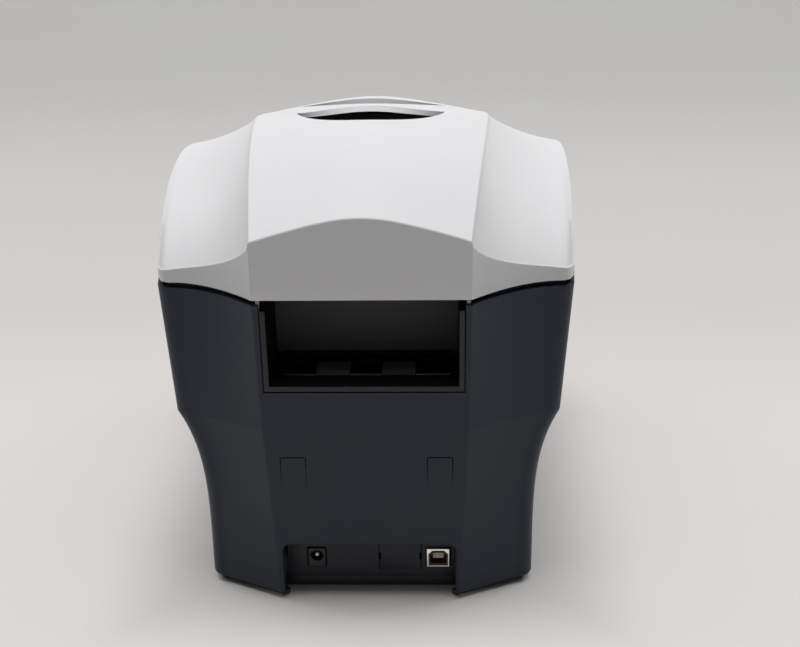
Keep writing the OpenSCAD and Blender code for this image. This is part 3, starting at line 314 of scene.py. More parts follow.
def cut(bm, cutters, name):
    """Takes closed cutter bmeshes, which don't touch one another, away from a closed bmesh"""
    together = bmesh.new()
    for cutter in cutters:
        bmesh.ops.recalc_face_normals(cutter, faces=cutter.faces)
        passing = bpy.data.meshes.new("cutter")
        cutter.to_mesh(passing)
        cutter.free()
        together.from_mesh(passing)
        bpy.data.meshes.remove(passing)
    before = len(bm.verts)
    tool = loose_object(together, f"{name}_cutter")
    piece = loose_object(bm, name)
    step = piece.modifiers.new("cut", "BOOLEAN")
    step.operation, step.object, step.solver = "DIFFERENCE", tool, "MANIFOLD"
    result = worked(piece)
    mesh = tool.data
    bpy.data.objects.remove(tool)
    bpy.data.meshes.remove(mesh)
    if len(result.verts) in (0, before):
        raise RuntimeError(f"{name} left its piece uncut")
    return result


def slab(bm, low, high, edge=0, segments=2):
    """Adds a box between two corners, with its edges bevelled, and hands the bmesh back"""
    low, high = Vector(low), Vector(high)
    made = bmesh.ops.create_cube(bm, size=1.0)["verts"]
    bmesh.ops.scale(bm, vec=high - low, verts=made)
    bmesh.ops.translate(bm, vec=(low + high) / 2, verts=made)
    if edge:
        bevel(bm, edges_within(made), edge, segments)
    return bm


def edges_within(verts):
    """The edges between the vertices, each once and in a fixed order, so that every run gives one result"""
    inside = set(verts)
    return list(dict.fromkeys(e for v in verts for e in v.link_edges if e.other_vert(v) in inside))


def bevel(bm, edges, width, segments):
    bmesh.ops.bevel(bm, geom=edges, offset=width, segments=segments, profile=0.5, affect="EDGES",
                    clamp_overlap=True, material=-1)


def soften(bm, verts):
    bmesh.ops.smooth_vert(bm, verts=verts, factor=0.5, use_axis_x=True, use_axis_y=True, use_axis_z=True)


def ring(bm, points):
    """A closed loop of vertices through the points"""
    made = bmesh.ops.create_circle(bm, segments=len(points), radius=1.0, cap_ends=False)["verts"]
    for vert, point in zip(made, points):
        vert.co = point
    return made


def loft(bm, sections):
    """Bridges equal loops of points, closes the two ends and hands the bmesh back"""
    rings = [ring(bm, points) for points in sections]
    for a, b in zip(rings, rings[1:]):
        bmesh.ops.bridge_loops(bm, edges=edges_within(a) + edges_within(b))
    for end in (rings[0], rings[-1]):
        bmesh.ops.edgeloop_fill(bm, edges=edges_within(end))
    return bm


def rounded(x0, z0, x1, z1, radii, grow=0.0, steps=6):
    """An outline of a rectangle in XZ with four corner radii, from the low left, anticlockwise"""
    x0, z0, x1, z1 = x0 - grow, z0 - grow, x1 + grow, z1 + grow
    corners = [((x0, z0), 180), ((x1, z0), 270), ((x1, z1), 0), ((x0, z1), 90)]
    signs = [(1, 1), (-1, 1), (-1, -1), (1, -1)]
    points = []
    for ((x, z), start), (sx, sz), r in zip(corners, signs, radii):
        r = max(r + grow, 0.01)
        for i in range(steps + 1):
            a = math.radians(start + 90 * i / steps)
            points.append((x + sx * r + r * math.cos(a), z + sz * r + r * math.sin(a)))
    return points


def disc(x, z, r, steps):
    """The points of a circle in XZ"""
    turns = [2 * math.pi * i / steps for i in range(steps)]
    return [(x + r * math.cos(a), z + r * math.sin(a)) for a in turns]


def opening(box, radii, y_in, y_face, out, flare):
    """A cutter along Y for a rounded rectangle, with a chamfer where it meets the face; out is 1 or -1"""
    past = 3
    stations = [(y_in, 0.0), (y_face - out * flare, 0.0), (y_face + out * past, flare + past)]
    return loft(bmesh.new(), [along_y(rounded(*box, radii, grow), y) for y, grow in stations])


def along_y(outline, y):
    """An outline in XZ as points at a depth"""
    return [(x, y, z) for x, z in outline]


def orient(bm, faces, up):
    """Turns the whole mesh over if the given faces, on balance, look the wrong way; up is 1 or -1"""
    bmesh.ops.recalc_face_normals(bm, faces=bm.faces)
    if sum(f.normal.z * f.calc_area() for f in faces) * up < 0:
        bmesh.ops.reverse_faces(bm, faces=bm.faces)


# Materials


def add(tree, kind, inputs=None, **settings):
    """Adds a shader node with its settings and the values of its inputs"""
    node = tree.nodes.new(f"ShaderNode{kind}")
    for key, value in settings.items():
        setattr(node, key, value)
    for key, value in (inputs or {}).items():
        node.inputs[key].default_value = value
    return node


def wire(tree, *links):
    """Joins sockets, each link given as node, output, node, input"""
    for source, output, target, entry in links:
        tree.links.new(source.outputs[output], target.inputs[entry])


def surface_group(name, own, low, high, patches, build):
    """A group that puts out a height for bump, a mask for colour and a roughness. It has one input of its own
    beside those that both effects share, and build adds its fine texture"""
    if name in bpy.data.node_groups:
        return bpy.data.node_groups[name]
    group = bpy.data.node_groups.new(name, "ShaderNodeTree")
    for title, kind, default in (("Vector", "NodeSocketVector", None), own,
                                 ("Roughness low", "NodeSocketFloat", low),
                                 ("Roughness high", "NodeSocketFloat", high)):
        socket = group.interface.new_socket(title, in_out="INPUT", socket_type=kind)
        if default is not None:
            socket.default_value = default
    for title in ("Height", "Mask", "Roughness"):
        group.interface.new_socket(title, in_out="OUTPUT", socket_type="NodeSocketFloat")
    enter, leave = group.nodes.new("NodeGroupInput"), group.nodes.new("NodeGroupOutput")
    broad = add(group, "TexNoise", patches)
    fine, varied, spread = build(group, enter, broad)
    wire(group, (enter, "Vector", broad, "Vector"), (varied, "Fac", spread, "Value"),
         (enter, "Roughness low", spread, "To Min"), (enter, "Roughness high", spread, "To Max"),
         (spread, "Result", leave, "Roughness"), (fine, "Fac", leave, "Height"),
         (broad, "Fac", leave, "Mask"))
    return group


def moulded_grain():
    """Spark-eroded mould texture, with its roughness varied in broad patches"""

    def build(group, enter, broad):
        fine = add(group, "TexNoise", {"Detail": 3.0})
        wire(group, (enter, "Vector", fine, "Vector"), (enter, "Grain per metre", fine, "Scale"))
        return fine, broad, add(group, "MapRange", {"From Min": 0.3, "From Max": 0.7})

    return surface_group("moulded_grain", ("Grain per metre", "NodeSocketFloat", 2600.0), 0.4, 0.55,
                         {"Scale": 22.0, "Detail": 4.0}, build)


def brushed_lines():
    """Fine lines along one direction, which vary height and roughness alike"""

    def build(group, enter, broad):
        times = add(group, "VectorMath", operation="MULTIPLY")
        lines = add(group, "TexNoise", {"Scale": 1.0, "Detail": 2.0})
        wire(group, (enter, "Vector", times, 0), (enter, "Stretch", times, 1),
             (times, "Vector", lines, "Vector"))
        return lines, lines, add(group, "MapRange")

    return surface_group("brushed_lines", ("Stretch", "NodeSocketVector", (40.0, 1400.0, 1400.0)), 0.25, 0.42,
                         {"Scale": 35.0}, build)


def finish(name, colour, shade=0.9, bump=0.05, reach=0.0001, metal=False, ior=1.46, coat=0.0, values=None):
    """A Principled material whose colour, roughness and normal come from one of the surface effects: brushed
    lines for metal, moulded grain for the rest. The colour varies from shade times the given one to as much
    above it"""
    if name in bpy.data.materials:
        return bpy.data.materials[name]
    material = bpy.data.materials.new(name)
    material.use_nodes = True
    tree = material.node_tree
    shader = tree.nodes["Principled BSDF"]
    where = add(tree, "TexCoord")
    surface = add(tree, "Group", values, node_tree=brushed_lines() if metal else moulded_grain())
    tint = add(tree, "Mix", {"A": (*[c * shade for c in colour], 1),
                             "B": (*[min(1.0, c * (2 - shade)) for c in colour], 1)}, data_type="RGBA")
    bumps = add(tree, "Bump", {"Strength": bump, "Distance": reach})
    wire(tree, (where, "Object", surface, "Vector"), (surface, "Mask", tint, "Factor"),
         (tint, "Result", shader, "Base Color"), (surface, "Roughness", shader, "Roughness"),
         (surface, "Height", bumps, "Height"), (bumps, "Normal", shader, "Normal"))
    shader.inputs["Metallic"].default_value = float(metal)
    shader.inputs["IOR"].default_value = ior
    shader.inputs["Coat Weight"].default_value = coat
    shader.inputs["Coat Roughness"].default_value = 0.2
    return material


def rough(low, high, grain=None, stretch=None):
    """What a finish is told of its effect: the roughness range and, if given, grain per metre or stretch"""
    values = {"Roughness low": low, "Roughness high": high, "Grain per metre": grain, "Stretch": stretch}
    return {"values": {key: value for key, value in values.items() if value}}


def lid_finish():
    return finish("lid_moulding", colours().lid, 0.99, 0.1, **rough(0.42, 0.5, 2200.0))


def case_finish():
    return finish("case_moulding", colours().case, 0.94, 0.28, ior=1.37, **rough(0.4, 0.5, 1900.0))


def black_finish():
    return finish("black_moulding", colours().black, 0.85, 0.3, **rough(0.45, 0.6, 1600.0))


# the case's plastic, made lighter for the parts set in the shaded recess: painted light
def panel_painted_light_finish():
    return finish("socket_panel_moulding_painted_light", (0.024, 0.027, 0.033), bump=0.25, ior=1.37,
                  **rough(0.4, 0.55, 1600.0))


def steel_finish():
    return finish("plated_steel", colours().steel, 0.95, metal=True)


# Shells


class PRINTER_OT_case_shell(bpy.types.Operator):
    """Makes the dark lower case as one moulded shell with its openings"""

    bl_idname = "printer.case_shell"
    bl_label = "Lower case"

    # the recess for the sockets: its half width and how far in it goes
    recess_half, recess_y = 43.7, 119.5

    def execute(self, context):
        shape = Housing()
        half = shape.half_outline()
        bm = cut(self.blank(shape, half), self.openings(shape), "case_cut")
        self.base_shadow_rim(bm, shape, half)
        self.seam_lip(bm, shape, half)
        # posts and latch catches inside
        for x, y in ((-38, 64), (38, 64), (-38, 108), (38, 108)):
            bmesh.ops.create_cone(bm, cap_ends=True, segments=24, radius1=3.4, radius2=3.0, depth=5.2,
                                  matrix=Matrix.Translation((x, y, 7.9)))
        for x in (-30, 22):
            slab(bm, (x, -shape.half_l + 1.6, 155), (x + 8, -shape.half_l + 5, 157), 0.3)
        piece = finish_piece(bm, "case_shell", "case", case_finish(), ["lower_case"])
        # the faces below the foot, the base's rim among them, take the black moulding: painted shade under
        # the base
        second(piece, black_finish(), lambda c: c.z / MM < shape.foot_h + 0.05)
        return {"FINISHED"}

    def blank(self, shape, half):
        """The shell without openings: a grid bent round the outline, closed at the foot"""
        round_trip = [(1, h) for h in half] + [(-1, h) for h in reversed(half)]
        r = shape.foot_round
        levels = [("flat", shape.foot_h + r * (1 - math.cos(a)), r * (1 - math.sin(a)))
                  for a in [math.pi / 2 * i / 5 for i in range(6)]]
        low, high = levels[-1][1], shape.waist_z - shape.near
        levels += [("flat", mix(low, high, (i / 22) ** 0.9), 0.0) for i in range(1, 23)]
        levels += [("flat", shape.waist_z, 0.0), ("rise", shape.near / shape.rise_height, 0.0)]
        levels += [("rise", i / 26, 0.0) for i in range(1, 27)]
        rims = [shape.rim(*station) for station in round_trip]

        bm = bmesh.new()
        cols, rows = len(round_trip), len(levels)
        bmesh.ops.create_grid(bm, x_segments=cols, y_segments=rows - 1, size=1.0)
        bm.verts.ensure_lookup_table()
        for index, vert in enumerate(bm.verts):
            row, col = divmod(index, cols + 1)
            col %= cols
            kind, height, inset = levels[row]
            z = height if kind == "flat" else mix(shape.waist_z, rims[col], height)
            vert.co = (*shape.outline(*round_trip[col], z, inset), z)
        bmesh.ops.remove_doubles(bm, verts=bm.verts, dist=1e-4)
        # soften the waist and the creases beside the panels
        crease = [v for v in bm.verts if abs(v.co.z - shape.waist_z) < 0.01
                  or (abs(abs(v.co.x) - shape.crease(v.co.z)) < 0.02 and abs(v.co.y) > 100 and v.co.z > 6)]
        soften(bm, crease)
        foot = [e for e in bm.edges if e.is_boundary and max(v.co.z for v in e.verts) < shape.foot_h + 0.5]
        bmesh.ops.contextual_create(bm, geom=foot)
        orient(bm, [f for f in bm.faces if f.calc_center_median().z < 4], -1)
        return walled(bm, "case_blank", shape.wall, True, 0.85, 3, 62)

    def openings(self, shape):
        """Cutters for the bay, the recess, the niche, the controls, the two tabs and the vents"""
        half_l, recess, inner = shape.half_l, self.recess_half, self.recess_y
        cuts = [opening((-47.9, 118.6, 47.9, 240), [0.6] * 4, half_l - 8, half_l, 1, 0.45),
                opening((-recess, -20, recess, 32.7), (0.1, 0.1, 4, 4), inner, shape.panel(20), 1, 0.5),
                opening((-47.9, 59.6, 47.9, 134.6), [0.6] * 4, -half_l + 10, -half_l + 0.3, -1, 0.45),
                opening((-18.4, 139.6, 18.4, 153.4), [1.2] * 4, -half_l + 10, -half_l, -1, 0.4)]
        for x in (-PRINTER_OT_tabs.middle, PRINTER_OT_tabs.middle):
            cuts.append(opening((x - 6.2, 66.0, x + 6.2, 83.4), [0.2, 0.2, 0.9, 0.9], half_l - 8,
                                shape.panel(75) + 0.1, 1, 0.2))
        for x in range(-66, 67, 12):
            for y in (-64, 26):
                slot = [(x + px, y + py) for px, py in rounded(-1.6, -15.6, 1.6, 15.6, [1.59] * 4, steps=4)]
                cuts.append(loft(bmesh.new(), [[(px, py, z) for px, py in slot] for z in (-2, 9)]))
        return cuts

    def base_shadow_rim(self, bm, shape, half):
        """The low rim that the case stands on, open along the recess, where it runs in to the sockets. Its
        black faces fill the band under the foot where the base's shadow falls: painted shade in the form of a
        part
        """
        low, top, outer, inner = 0.7, 3.4, 3.0, 5.4
        end = ("rear", 43.9 / shape.crease(shape.foot_h))
        path = [(1, end)] + [(1, h) for h in half if h[0] != "rear"]
        path += [(-1, h) for h in reversed(half) if h[0] != "rear" and h != ("front", 0.0)] + [(-1, end)]
        sections = []
        for station in path:
            (ox, oy), (ix, iy) = [shape.outline(*station, shape.foot_h, inset) for inset in (outer, inner)]
            sections.append([(ox, oy, top), (ox, oy, low + 0.4), (ox * 0.996, oy * 0.996, low), (ix, iy, low),
                             (ix, iy, top)])
        loft(bm, sections)
        bar_y, bar_half, recess = 117.1, 45.7, self.recess_half
        slab(bm, (-bar_half, bar_y, low), (bar_half, self.recess_y, top), 0.2)
        for left, right in ((-bar_half, -recess), (recess, bar_half)):
            slab(bm, (left, bar_y, low), (right, 130.0, top), 0.2)

    def seam_lip(self, bm, shape, half):
        """A lip behind the lid's skirt, so that no light passes the seam; it stops short of the hinges"""
        reach = [h for h in half if h[0] in ("side", "nose") or (h[0] == "wing" and h[1] > 0.22)]
        for side in (-1, 1):
            sections = []
            for where in reach:
                rim = shape.rim(side, where)
                low, top = rim - 4, rim + 2.8
                (ox, oy), (ix, iy) = [shape.outline(side, where, rim, inset) for inset in (4.0, 5.2)]
                sections.append([(ox, oy, low), (ox, oy, top), (ix, iy, top), (ix, iy, low)])
            loft(bm, sections)


class PRINTER_OT_lid_shell(bpy.types.Operator):
    """Makes the pale lid with its crown, wings, rolled edge, finger slots and grip"""

    bl_idname = "printer.lid_shell"
    bl_label = "Lid"

    # radius and steps of the rolled edge, and the half width of the ridge's rounding as a share
    edge_r, roll, near = 0.8, 4, 0.012

    def execute(self, context):
        shape = Housing()
        half_l = shape.half_l
        cuts = [self.crescent(17.8, 5.0, 29.5, 39.3, 1.15), self.crescent(-4.5, 4.5, 20.4, 39.4, 0.6),
                opening((-13.8, 163.2, 13.8, 170.8), [1.5] * 4, -half_l + 6, -half_l, -1, 0.4)]
        # pockets for the hinge pins
        for x in (-46.8, 46.8):
            pocket = bmesh.new()
            spot = Matrix.Translation((x, 130.5, 169)) @ Matrix.Rotation(math.pi / 2, 4, "Y")
            bmesh.ops.create_cone(pocket, cap_ends=True, segments=40, radius1=3.3, radius2=3.3, depth=8.2,
                                  matrix=spot)
            cuts.append(pocket)
        bm = cut(self.blank(shape), cuts, "lid_cut")
        finish_piece(bm, "lid_shell", "lid", lid_finish(), ["lid"], sharp=38.0)
        return {"FINISHED"}

    def blank(self, shape):
        """The shell without openings: a grid over the top, rolled over its edge and run down to the seam"""
        near, edge_r, roll = self.near, self.edge_r, self.roll
        wing = [near / 2, near] + [(i / 34) ** 1.5 for i in range(2, 35)]
        crown = [i / 34 for i in range(0, 34)] + [1 - near, 1 - near / 2, 1.0]
        half = crown + [1 + t for t in wing]
        across = [-u for u in reversed(half[1:])] + half
        along = [0.5 - 0.5 * math.cos(math.pi * i / 110) for i in range(111)]
        bm = bmesh.new()
        cols, rows = len(across), len(along)
        bmesh.ops.create_grid(bm, x_segments=cols - 1, y_segments=rows - 1, size=1.0)
        bm.verts.ensure_lookup_table()
        place = {}
        for index, vert in enumerate(bm.verts):
            row, col = divmod(index, cols)
            vert.co = shape.lid_top(across[col], along[row], edge_r)
            place[vert] = (col, row)
        ridge = [v for v, (col, row) in place.items()
                 if abs(abs(across[col]) - 1) < near * 0.6 and 0 < row < rows - 1]
        for _ in range(2):
            soften(bm, ridge)
        turns = [math.pi / 2 * i / roll for i in range(1, roll + 1)]
        rings = [("roll", edge_r * (1 - math.sin(a)), edge_r * (1 - math.cos(a))) for a in turns]
        rings += [("skirt", 0.0, t) for t in (0.33, 0.66, 1.0)]
        seat = {v: place[v] for v in bm.verts if v.is_boundary}
        for kind, inset, drop in rings:
            edges = [e for e in bm.edges if e.is_boundary]
            made = bmesh.ops.extrude_edge_only(bm, edges=edges)["geom"]
            fresh = {}
            for vert in made:
                if not isinstance(vert, bmesh.types.BMVert):
                    continue
                old = next(e.other_vert(vert) for e in vert.link_edges if e.other_vert(vert) in seat)
                col, row = fresh[vert] = seat[old]
                x, y, z = shape.lid_top(across[col], along[row], inset)
                vert.co = (x, y, z - drop if kind == "roll" else mix(z - edge_r, shape.seam(y), drop))
            seat = fresh
        orient(bm, bm.faces, 1)
        return walled(bm, "lid_blank", shape.wall, False, 0.35, 2, 70)

    def crescent(self, tip_y, front_rise, rear_rise, half, draft):
        """A cutter between two arcs that share their tips and bulge to the rear; its front wall slopes"""
        crown, steps = 229, 36

        def arc(rise):
            radius = (half * half + rise * rise) / (2 * rise)
            reach = math.asin(half / radius)
            angles = [reach * (2 * i / steps - 1) for i in range(steps + 1)]
            return [(radius * math.sin(a), tip_y + rise - radius + radius * math.cos(a)) for a in angles]

        sections = []
        for z in (218, 236):
            outline = arc(rear_rise) + list(reversed(arc(front_rise - draft * (z - crown))))[1:-1]
            sections.append([(x, y, z) for x, y in outline])
        return loft(bmesh.new(), sections)


# Rear fittings


class PRINTER_OT_hopper(bpy.types.Operator):
    """Makes the hopper liner, a channel with a window for the pick roller"""

    bl_idname = "printer.hopper"
    bl_label = "Hopper liner"

    def execute(self, context):
        outer, inner, low, floor, top = 47.6, 45.0, 119.2, 121.8, 160.4
        front, rear = 99.0, 134.8
        channel = [(-outer, low), (outer, low), (outer, top), (inner, top), (inner, floor), (-inner, floor),
                   (-inner, top), (-outer, top)]
        bm = loft(bmesh.new(), [along_y(channel, y) for y in (front, rear)])
        bevel(bm, [e for e in bm.edges if e.calc_length() > 0.1], 0.5, 3)
        bm = cut(bm, [slab(bmesh.new(), (-41, 102.5, 110), (41, 121.5, 130))], "liner_cut")
        slab(bm, (-outer, 95.8, low), (outer, 99.6, floor), 0.3)
        rim = finish("coarse_liner", (0.024, 0.024, 0.025), 0.7, 0.8, 0.00025, ior=1.42,
                     **rough(0.5, 0.7, 900.0))
        # the liner's faces inside the bay take a near-black copy of its moulding: painted shade
        inside = finish("liner_inside_painted_shade", (0.002, 0.002, 0.004), 0.8, 0.3, ior=1.18, **rough(0.6, 0.75))
        piece = finish_piece(bm, "hopper_liner", "case", rim, ["bay_liner"], sharp=50)
        second(piece, inside, lambda c: c.y / MM < 134.2)
        return {"FINISHED"}


class PRINTER_OT_sockets(bpy.types.Operator):
    """Makes the socket panel, the power socket, the data socket and the network blank"""

    bl_idname = "printer.sockets"
    bl_label = "Rear sockets"

    # the panel's two faces, and the middles of the power and the data socket
    face, back = 120.5, 118.1
    power_x, power_z, data_x, data_z = 27.9, 18.6, -34.8, 17.7

    def execute(self, context):
        self.panel()
        self.power()
        self.data()
        self.blank()
        return {"FINISHED"}

    def panel(self):
        """The back plate with its three holes, and the hood round it"""
        face, back = self.face, self.back
        low, top, half, inner, r = 5.6, 34.7, 45.7, 43.7, 4
        rear = Housing().panel(32.7) - Housing().wall - 0.5
        bm = slab(bmesh.new(), (-half, back, low), (half, face, top), 0.2)
        holes = [opening(box, [0.5] * 4, 110, face, 1, 0.35)
                 for box in ((23.1, 11.9, 32.7, 23.5), (-41.2, 11.8, -28.4, 23.6), (-26.2, 9.6, -4.2, 26.8))]
        bm = cut(bm, holes, "panel_cut")
        slab(bm, (-43.5, 119.6, 0.7), (43.5, face, 5.7), 0.1)
        turns = [math.pi / 2 * i / 8 for i in range(9)]
        arch = [(inner, low)] + [(inner - r + r * math.cos(a), 28.7 + r * math.sin(a)) for a in turns]
        hood = arch + [(-x, z) for x, z in reversed(arch)]
        hood += [(-half, low), (-half, top), (half, top), (half, low)]
        loft(bm, [along_y(hood, y) for y in (face - 0.2, rear)])
        finish_piece(bm, "socket_panel", "case", panel_painted_light_finish(), ["connector_panel"])

    def power(self):
        """A moulded block with a round well and a pin"""
        face, x, z = self.face, self.power_x, self.power_z
        bm = slab(bmesh.new(), (23.4, face - 13, 12.2), (32.4, face + 0.8, 23.2), 0.45, 3)
        well = ((face - 9, 3.1), (face + 0.3, 3.1), (face + 1.0, 3.9), (face + 3, 5.9))
        pin = ((face - 9.2, 1.2), (face - 1.0, 1.2), (face - 0.5, 0.8))
        bm = cut(bm, [loft(bmesh.new(), [along_y(disc(x, z, r, 48), y) for y, r in well])], "power_cut")
        loft(bm, [along_y(disc(x, z, r, 24), y) for y, r in pin])
        black = finish("socket_black", (0.02, 0.02, 0.021), bump=0.1)
        piece = finish_piece(bm, "power_inlet", "case", black, ["power_socket", "power_pin"])
        second(piece, steel_finish(), lambda c: math.hypot(c.x / MM - x, c.z / MM - z) < 1.25
                    and face - 8.9 < c.y / MM < face - 0.4)

    def data(self):
        """A folded shell, the moulding inside it and its tongue with four contacts"""
        face, mid_x, mid_z = self.face, self.data_x, self.data_z
        w, h, c = 4.95, 4.45, 2.0
        outline = [(-w, -h), (w, -h), (w, h - c), (w - c, h), (-w + c, h), (-w, h - c)]

        def rings(*stations):
            return [[(mid_x + x * k, y, mid_z + z * k) for x, z in outline] for y, k in stations]

        bm = slab(bmesh.new(), (-40.82, face - 15, 12.2), (-28.78, face + 1.2, 23.2), 0.5, 3)
        mouth = loft(bmesh.new(), rings((face - 13, 1.0), (face + 0.9, 1.0), (face + 2.2, 1.1)))
        bm = cut(bm, [mouth], "data_cut")
        metal = finish("tinned_shell", (0.95, 0.93, 0.9), 0.97, 0.03, metal=True, **rough(0.16, 0.26))
        finish_piece(bm, "data_socket", "case", metal, ["data_socket_shell"])
        insert = rings((face - 12, 0.985), (face + 0.5, 0.985), (face + 0.5, 0.84), (face - 7, 0.82))
        bm = loft(bmesh.new(), insert)
        slab(bm, (-37.5, face - 8, 17.0), (-32.1, face + 0.2, 20.3), 0.35)
        for i in range(4):
            x = -36.7 + 1.27 * i
            slab(bm, (x - 0.3, face - 6, 16.88), (x + 0.3, face - 0.4, 17.05))
        brown = finish("socket_brown", (0.085, 0.05, 0.036), bump=0.1)
        piece = finish_piece(bm, "data_insert", "case", brown, ["data_socket_insert"])
        tongue = finish("tongue_grey", (0.62, 0.58, 0.54), 0.95)
        second(piece, tongue, lambda c: abs(c.x / MM - mid_x) < 2.72 and 16.98 < c.z / MM < 20.32
                    and c.y / MM > face - 7.9)

    def blank(self):
        """A stepped plate with a snap slit at each side"""
        face, back = self.face, self.back
        steps = ((back + 0.2, 0), (face - 0.3, 0), (face - 0.3, 0.8), (face + 0.15, 0.8), (face + 0.3, 1))
        bm = loft(bmesh.new(), [along_y(rounded(-26.0, 9.8, -4.4, 26.6, [0.6] * 4, -inset), y)
                                for y, inset in steps])
        slits = [slab(bmesh.new(), (x, 100, 15.8), (x + 1.4, 130, 20.2)) for x in (-26.6, -5.2)]
        bm = cut(bm, slits, "blank_cut")
        finish_piece(bm, "network_cover", "case", panel_painted_light_finish(), ["network_blank"])


class PRINTER_OT_tabs(bpy.types.Operator):
    """Makes the two blanking tabs of the rear panel, which join it at their foot"""

    bl_idname = "printer.tabs"
    bl_label = "Blanking tabs"

    middle = 35.85

    def execute(self, context):
        shape = Housing()
        bm = bmesh.new()
        # height, half width and dip of each row: the slits at the two sides close towards the foot
        rows = ((65.9, 6.3, 0.0), (70.0, 6.3, 0.0), (75.0, 6.02, 0.0), (80.0, 6.0, 0.0), (83.0, 6.0, 0.05),
                (83.2, 5.9, 0.2))
        for x in (-self.middle, self.middle):
            sections = []
            for z, half, dip in rows:
                y = shape.panel(z) - dip - 0.02
                plan = [(-half, 131.0), (half, 131.0), (half, y - 0.2), (half - 0.2, y), (-half + 0.2, y),
                        (-half, y - 0.2)]
                sections.append([(x + px, py, z) for px, py in plan])
            loft(bm, sections)
            # a plate behind the tab keeps light out of its slits
            slab(bm, (x - 7.6, 129.0, 64.4), (x + 7.6, 130.9, 83.1), 0.2)
        finish_piece(bm, "tab_plates", "case", case_finish(), ["tab_covers"])
        return {"FINISHED"}


# Finishes of the carried-over solids


# name, colour, shade, bump, other settings, and the solids that get it
FINISHES = (
    ("soft_rubber", (0.014, 0.014, 0.015), 0.85, 0.25, rough(0.6, 0.8, 1400.0),
     "rubber_feet pick_roller entry_roller exit_roller pinch_roller platen_roller"),
    ("ground_steel", (0.66, 0.66, 0.67), 0.95, 0.03,
     {"metal": True, **rough(0.16, 0.28, stretch=(1500.0, 60.0, 60.0))},
     "chassis_rods chassis_screws pick_shaft entry_shaft platen_shaft exit_shaft hinge_pins"),
    ("acetal", (0.62, 0.6, 0.53), 0.94, 0.05, rough(0.3, 0.42),
     "pick_gear entry_gear platen_gear exit_gear takeup_gear rear_idler middle_idler front_idler"),
    ("turned_brass", (0.56, 0.4, 0.15), 0.9, 0.03, {"metal": True}, "feed_pinion ribbon_pinion"),
    ("inked_film", (0.014, 0.017, 0.06), 0.8, 0.02, {"coat": 0.4, **rough(0.18, 0.3)},
     "ribbon_film supply_film takeup_film"),
    ("solder_resist", (0.015, 0.09, 0.035), 0.8, 0.1, {"coat": 0.3, **rough(0.3, 0.45, 700.0)},
     "main_board panel_board"),
    ("grey_fitting", (0.07, 0.072, 0.078), 0.9, 0.15, {}, "hinge_arms latch_bearings latch_hooks"),
    ("button_grey", (0.33, 0.34, 0.36), 0.95, 0.1, {}, "power_button release_button"),
    ("flap_moulding", (0.03, 0.032, 0.038), 0.93, 0.25, {}, "output_flap"),
    ("black_enamel", (0.016, 0.016, 0.018), 0.85, 0.1, {"coat": 0.2, **rough(0.28, 0.4)}, "feed_motor"),
    ("tacky_blue", (0.07, 0.17, 0.36), 0.9, 0.05, rough(0.2, 0.35), "cleaning_roller"),
    ("head_alloy", (0.5, 0.51, 0.52), 0.95, 0.04, {"metal": True}, "print_head"),
    ("natural_spool", (0.55, 0.55, 0.52), 0.95, 0.08, {}, "supply_spool takeup_spool"),
    ("chip_black", (0.014, 0.014, 0.015), 0.85, 0.1, {}, "board_parts"),
    ("glazed_strip", (0.7, 0.67, 0.58), 0.95, 0.02, {"coat": 0.5, **rough(0.1, 0.2)}, "heating_strip"),
    ("lamp_lens", (0.2, 0.42, 0.25), 0.85, 0.05, {"coat": 0.3, **rough(0.15, 0.25)}, "status_lamps"),
    ("matt_panel", (0.068, 0.068, 0.07), 0.85, 0.2, {"ior": 1.4, **rough(0.6, 0.75, 1200.0)},
     "bay_back_panel"),
)


class PRINTER_OT_finishes(bpy.types.Operator):
    """Gives every carried-over solid its own finish"""

    bl_idname = "printer.finishes"
    bl_label = "Finishes"

    def execute(self, context):
        given = [(finish(name, colour, shade, bump, **more), nodes)
                 for name, colour, shade, bump, more, nodes in FINISHES]
        given += [(steel_finish(), "side_plates head_bracket ribbon_motor"),
                  (black_finish(), "output_niche card_deck control_panel grip_well")]
        # the solids that a new piece stands for need none
        left = set(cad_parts) - {"lower_case", "lid", "bay_liner", "connector_panel", "power_socket",
                                      "power_pin", "data_socket_shell", "data_socket_insert", "network_blank",
                                      "tab_covers"}
        for material, nodes in given:
            for node in nodes.split():
                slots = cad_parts[node].data.materials
                slots.clear()
                slots.append(material)
                left.discard(node)
        if left:
            raise RuntimeError(f"no finish for {sorted(left)}")
        return {"FINISHED"}


# Studio


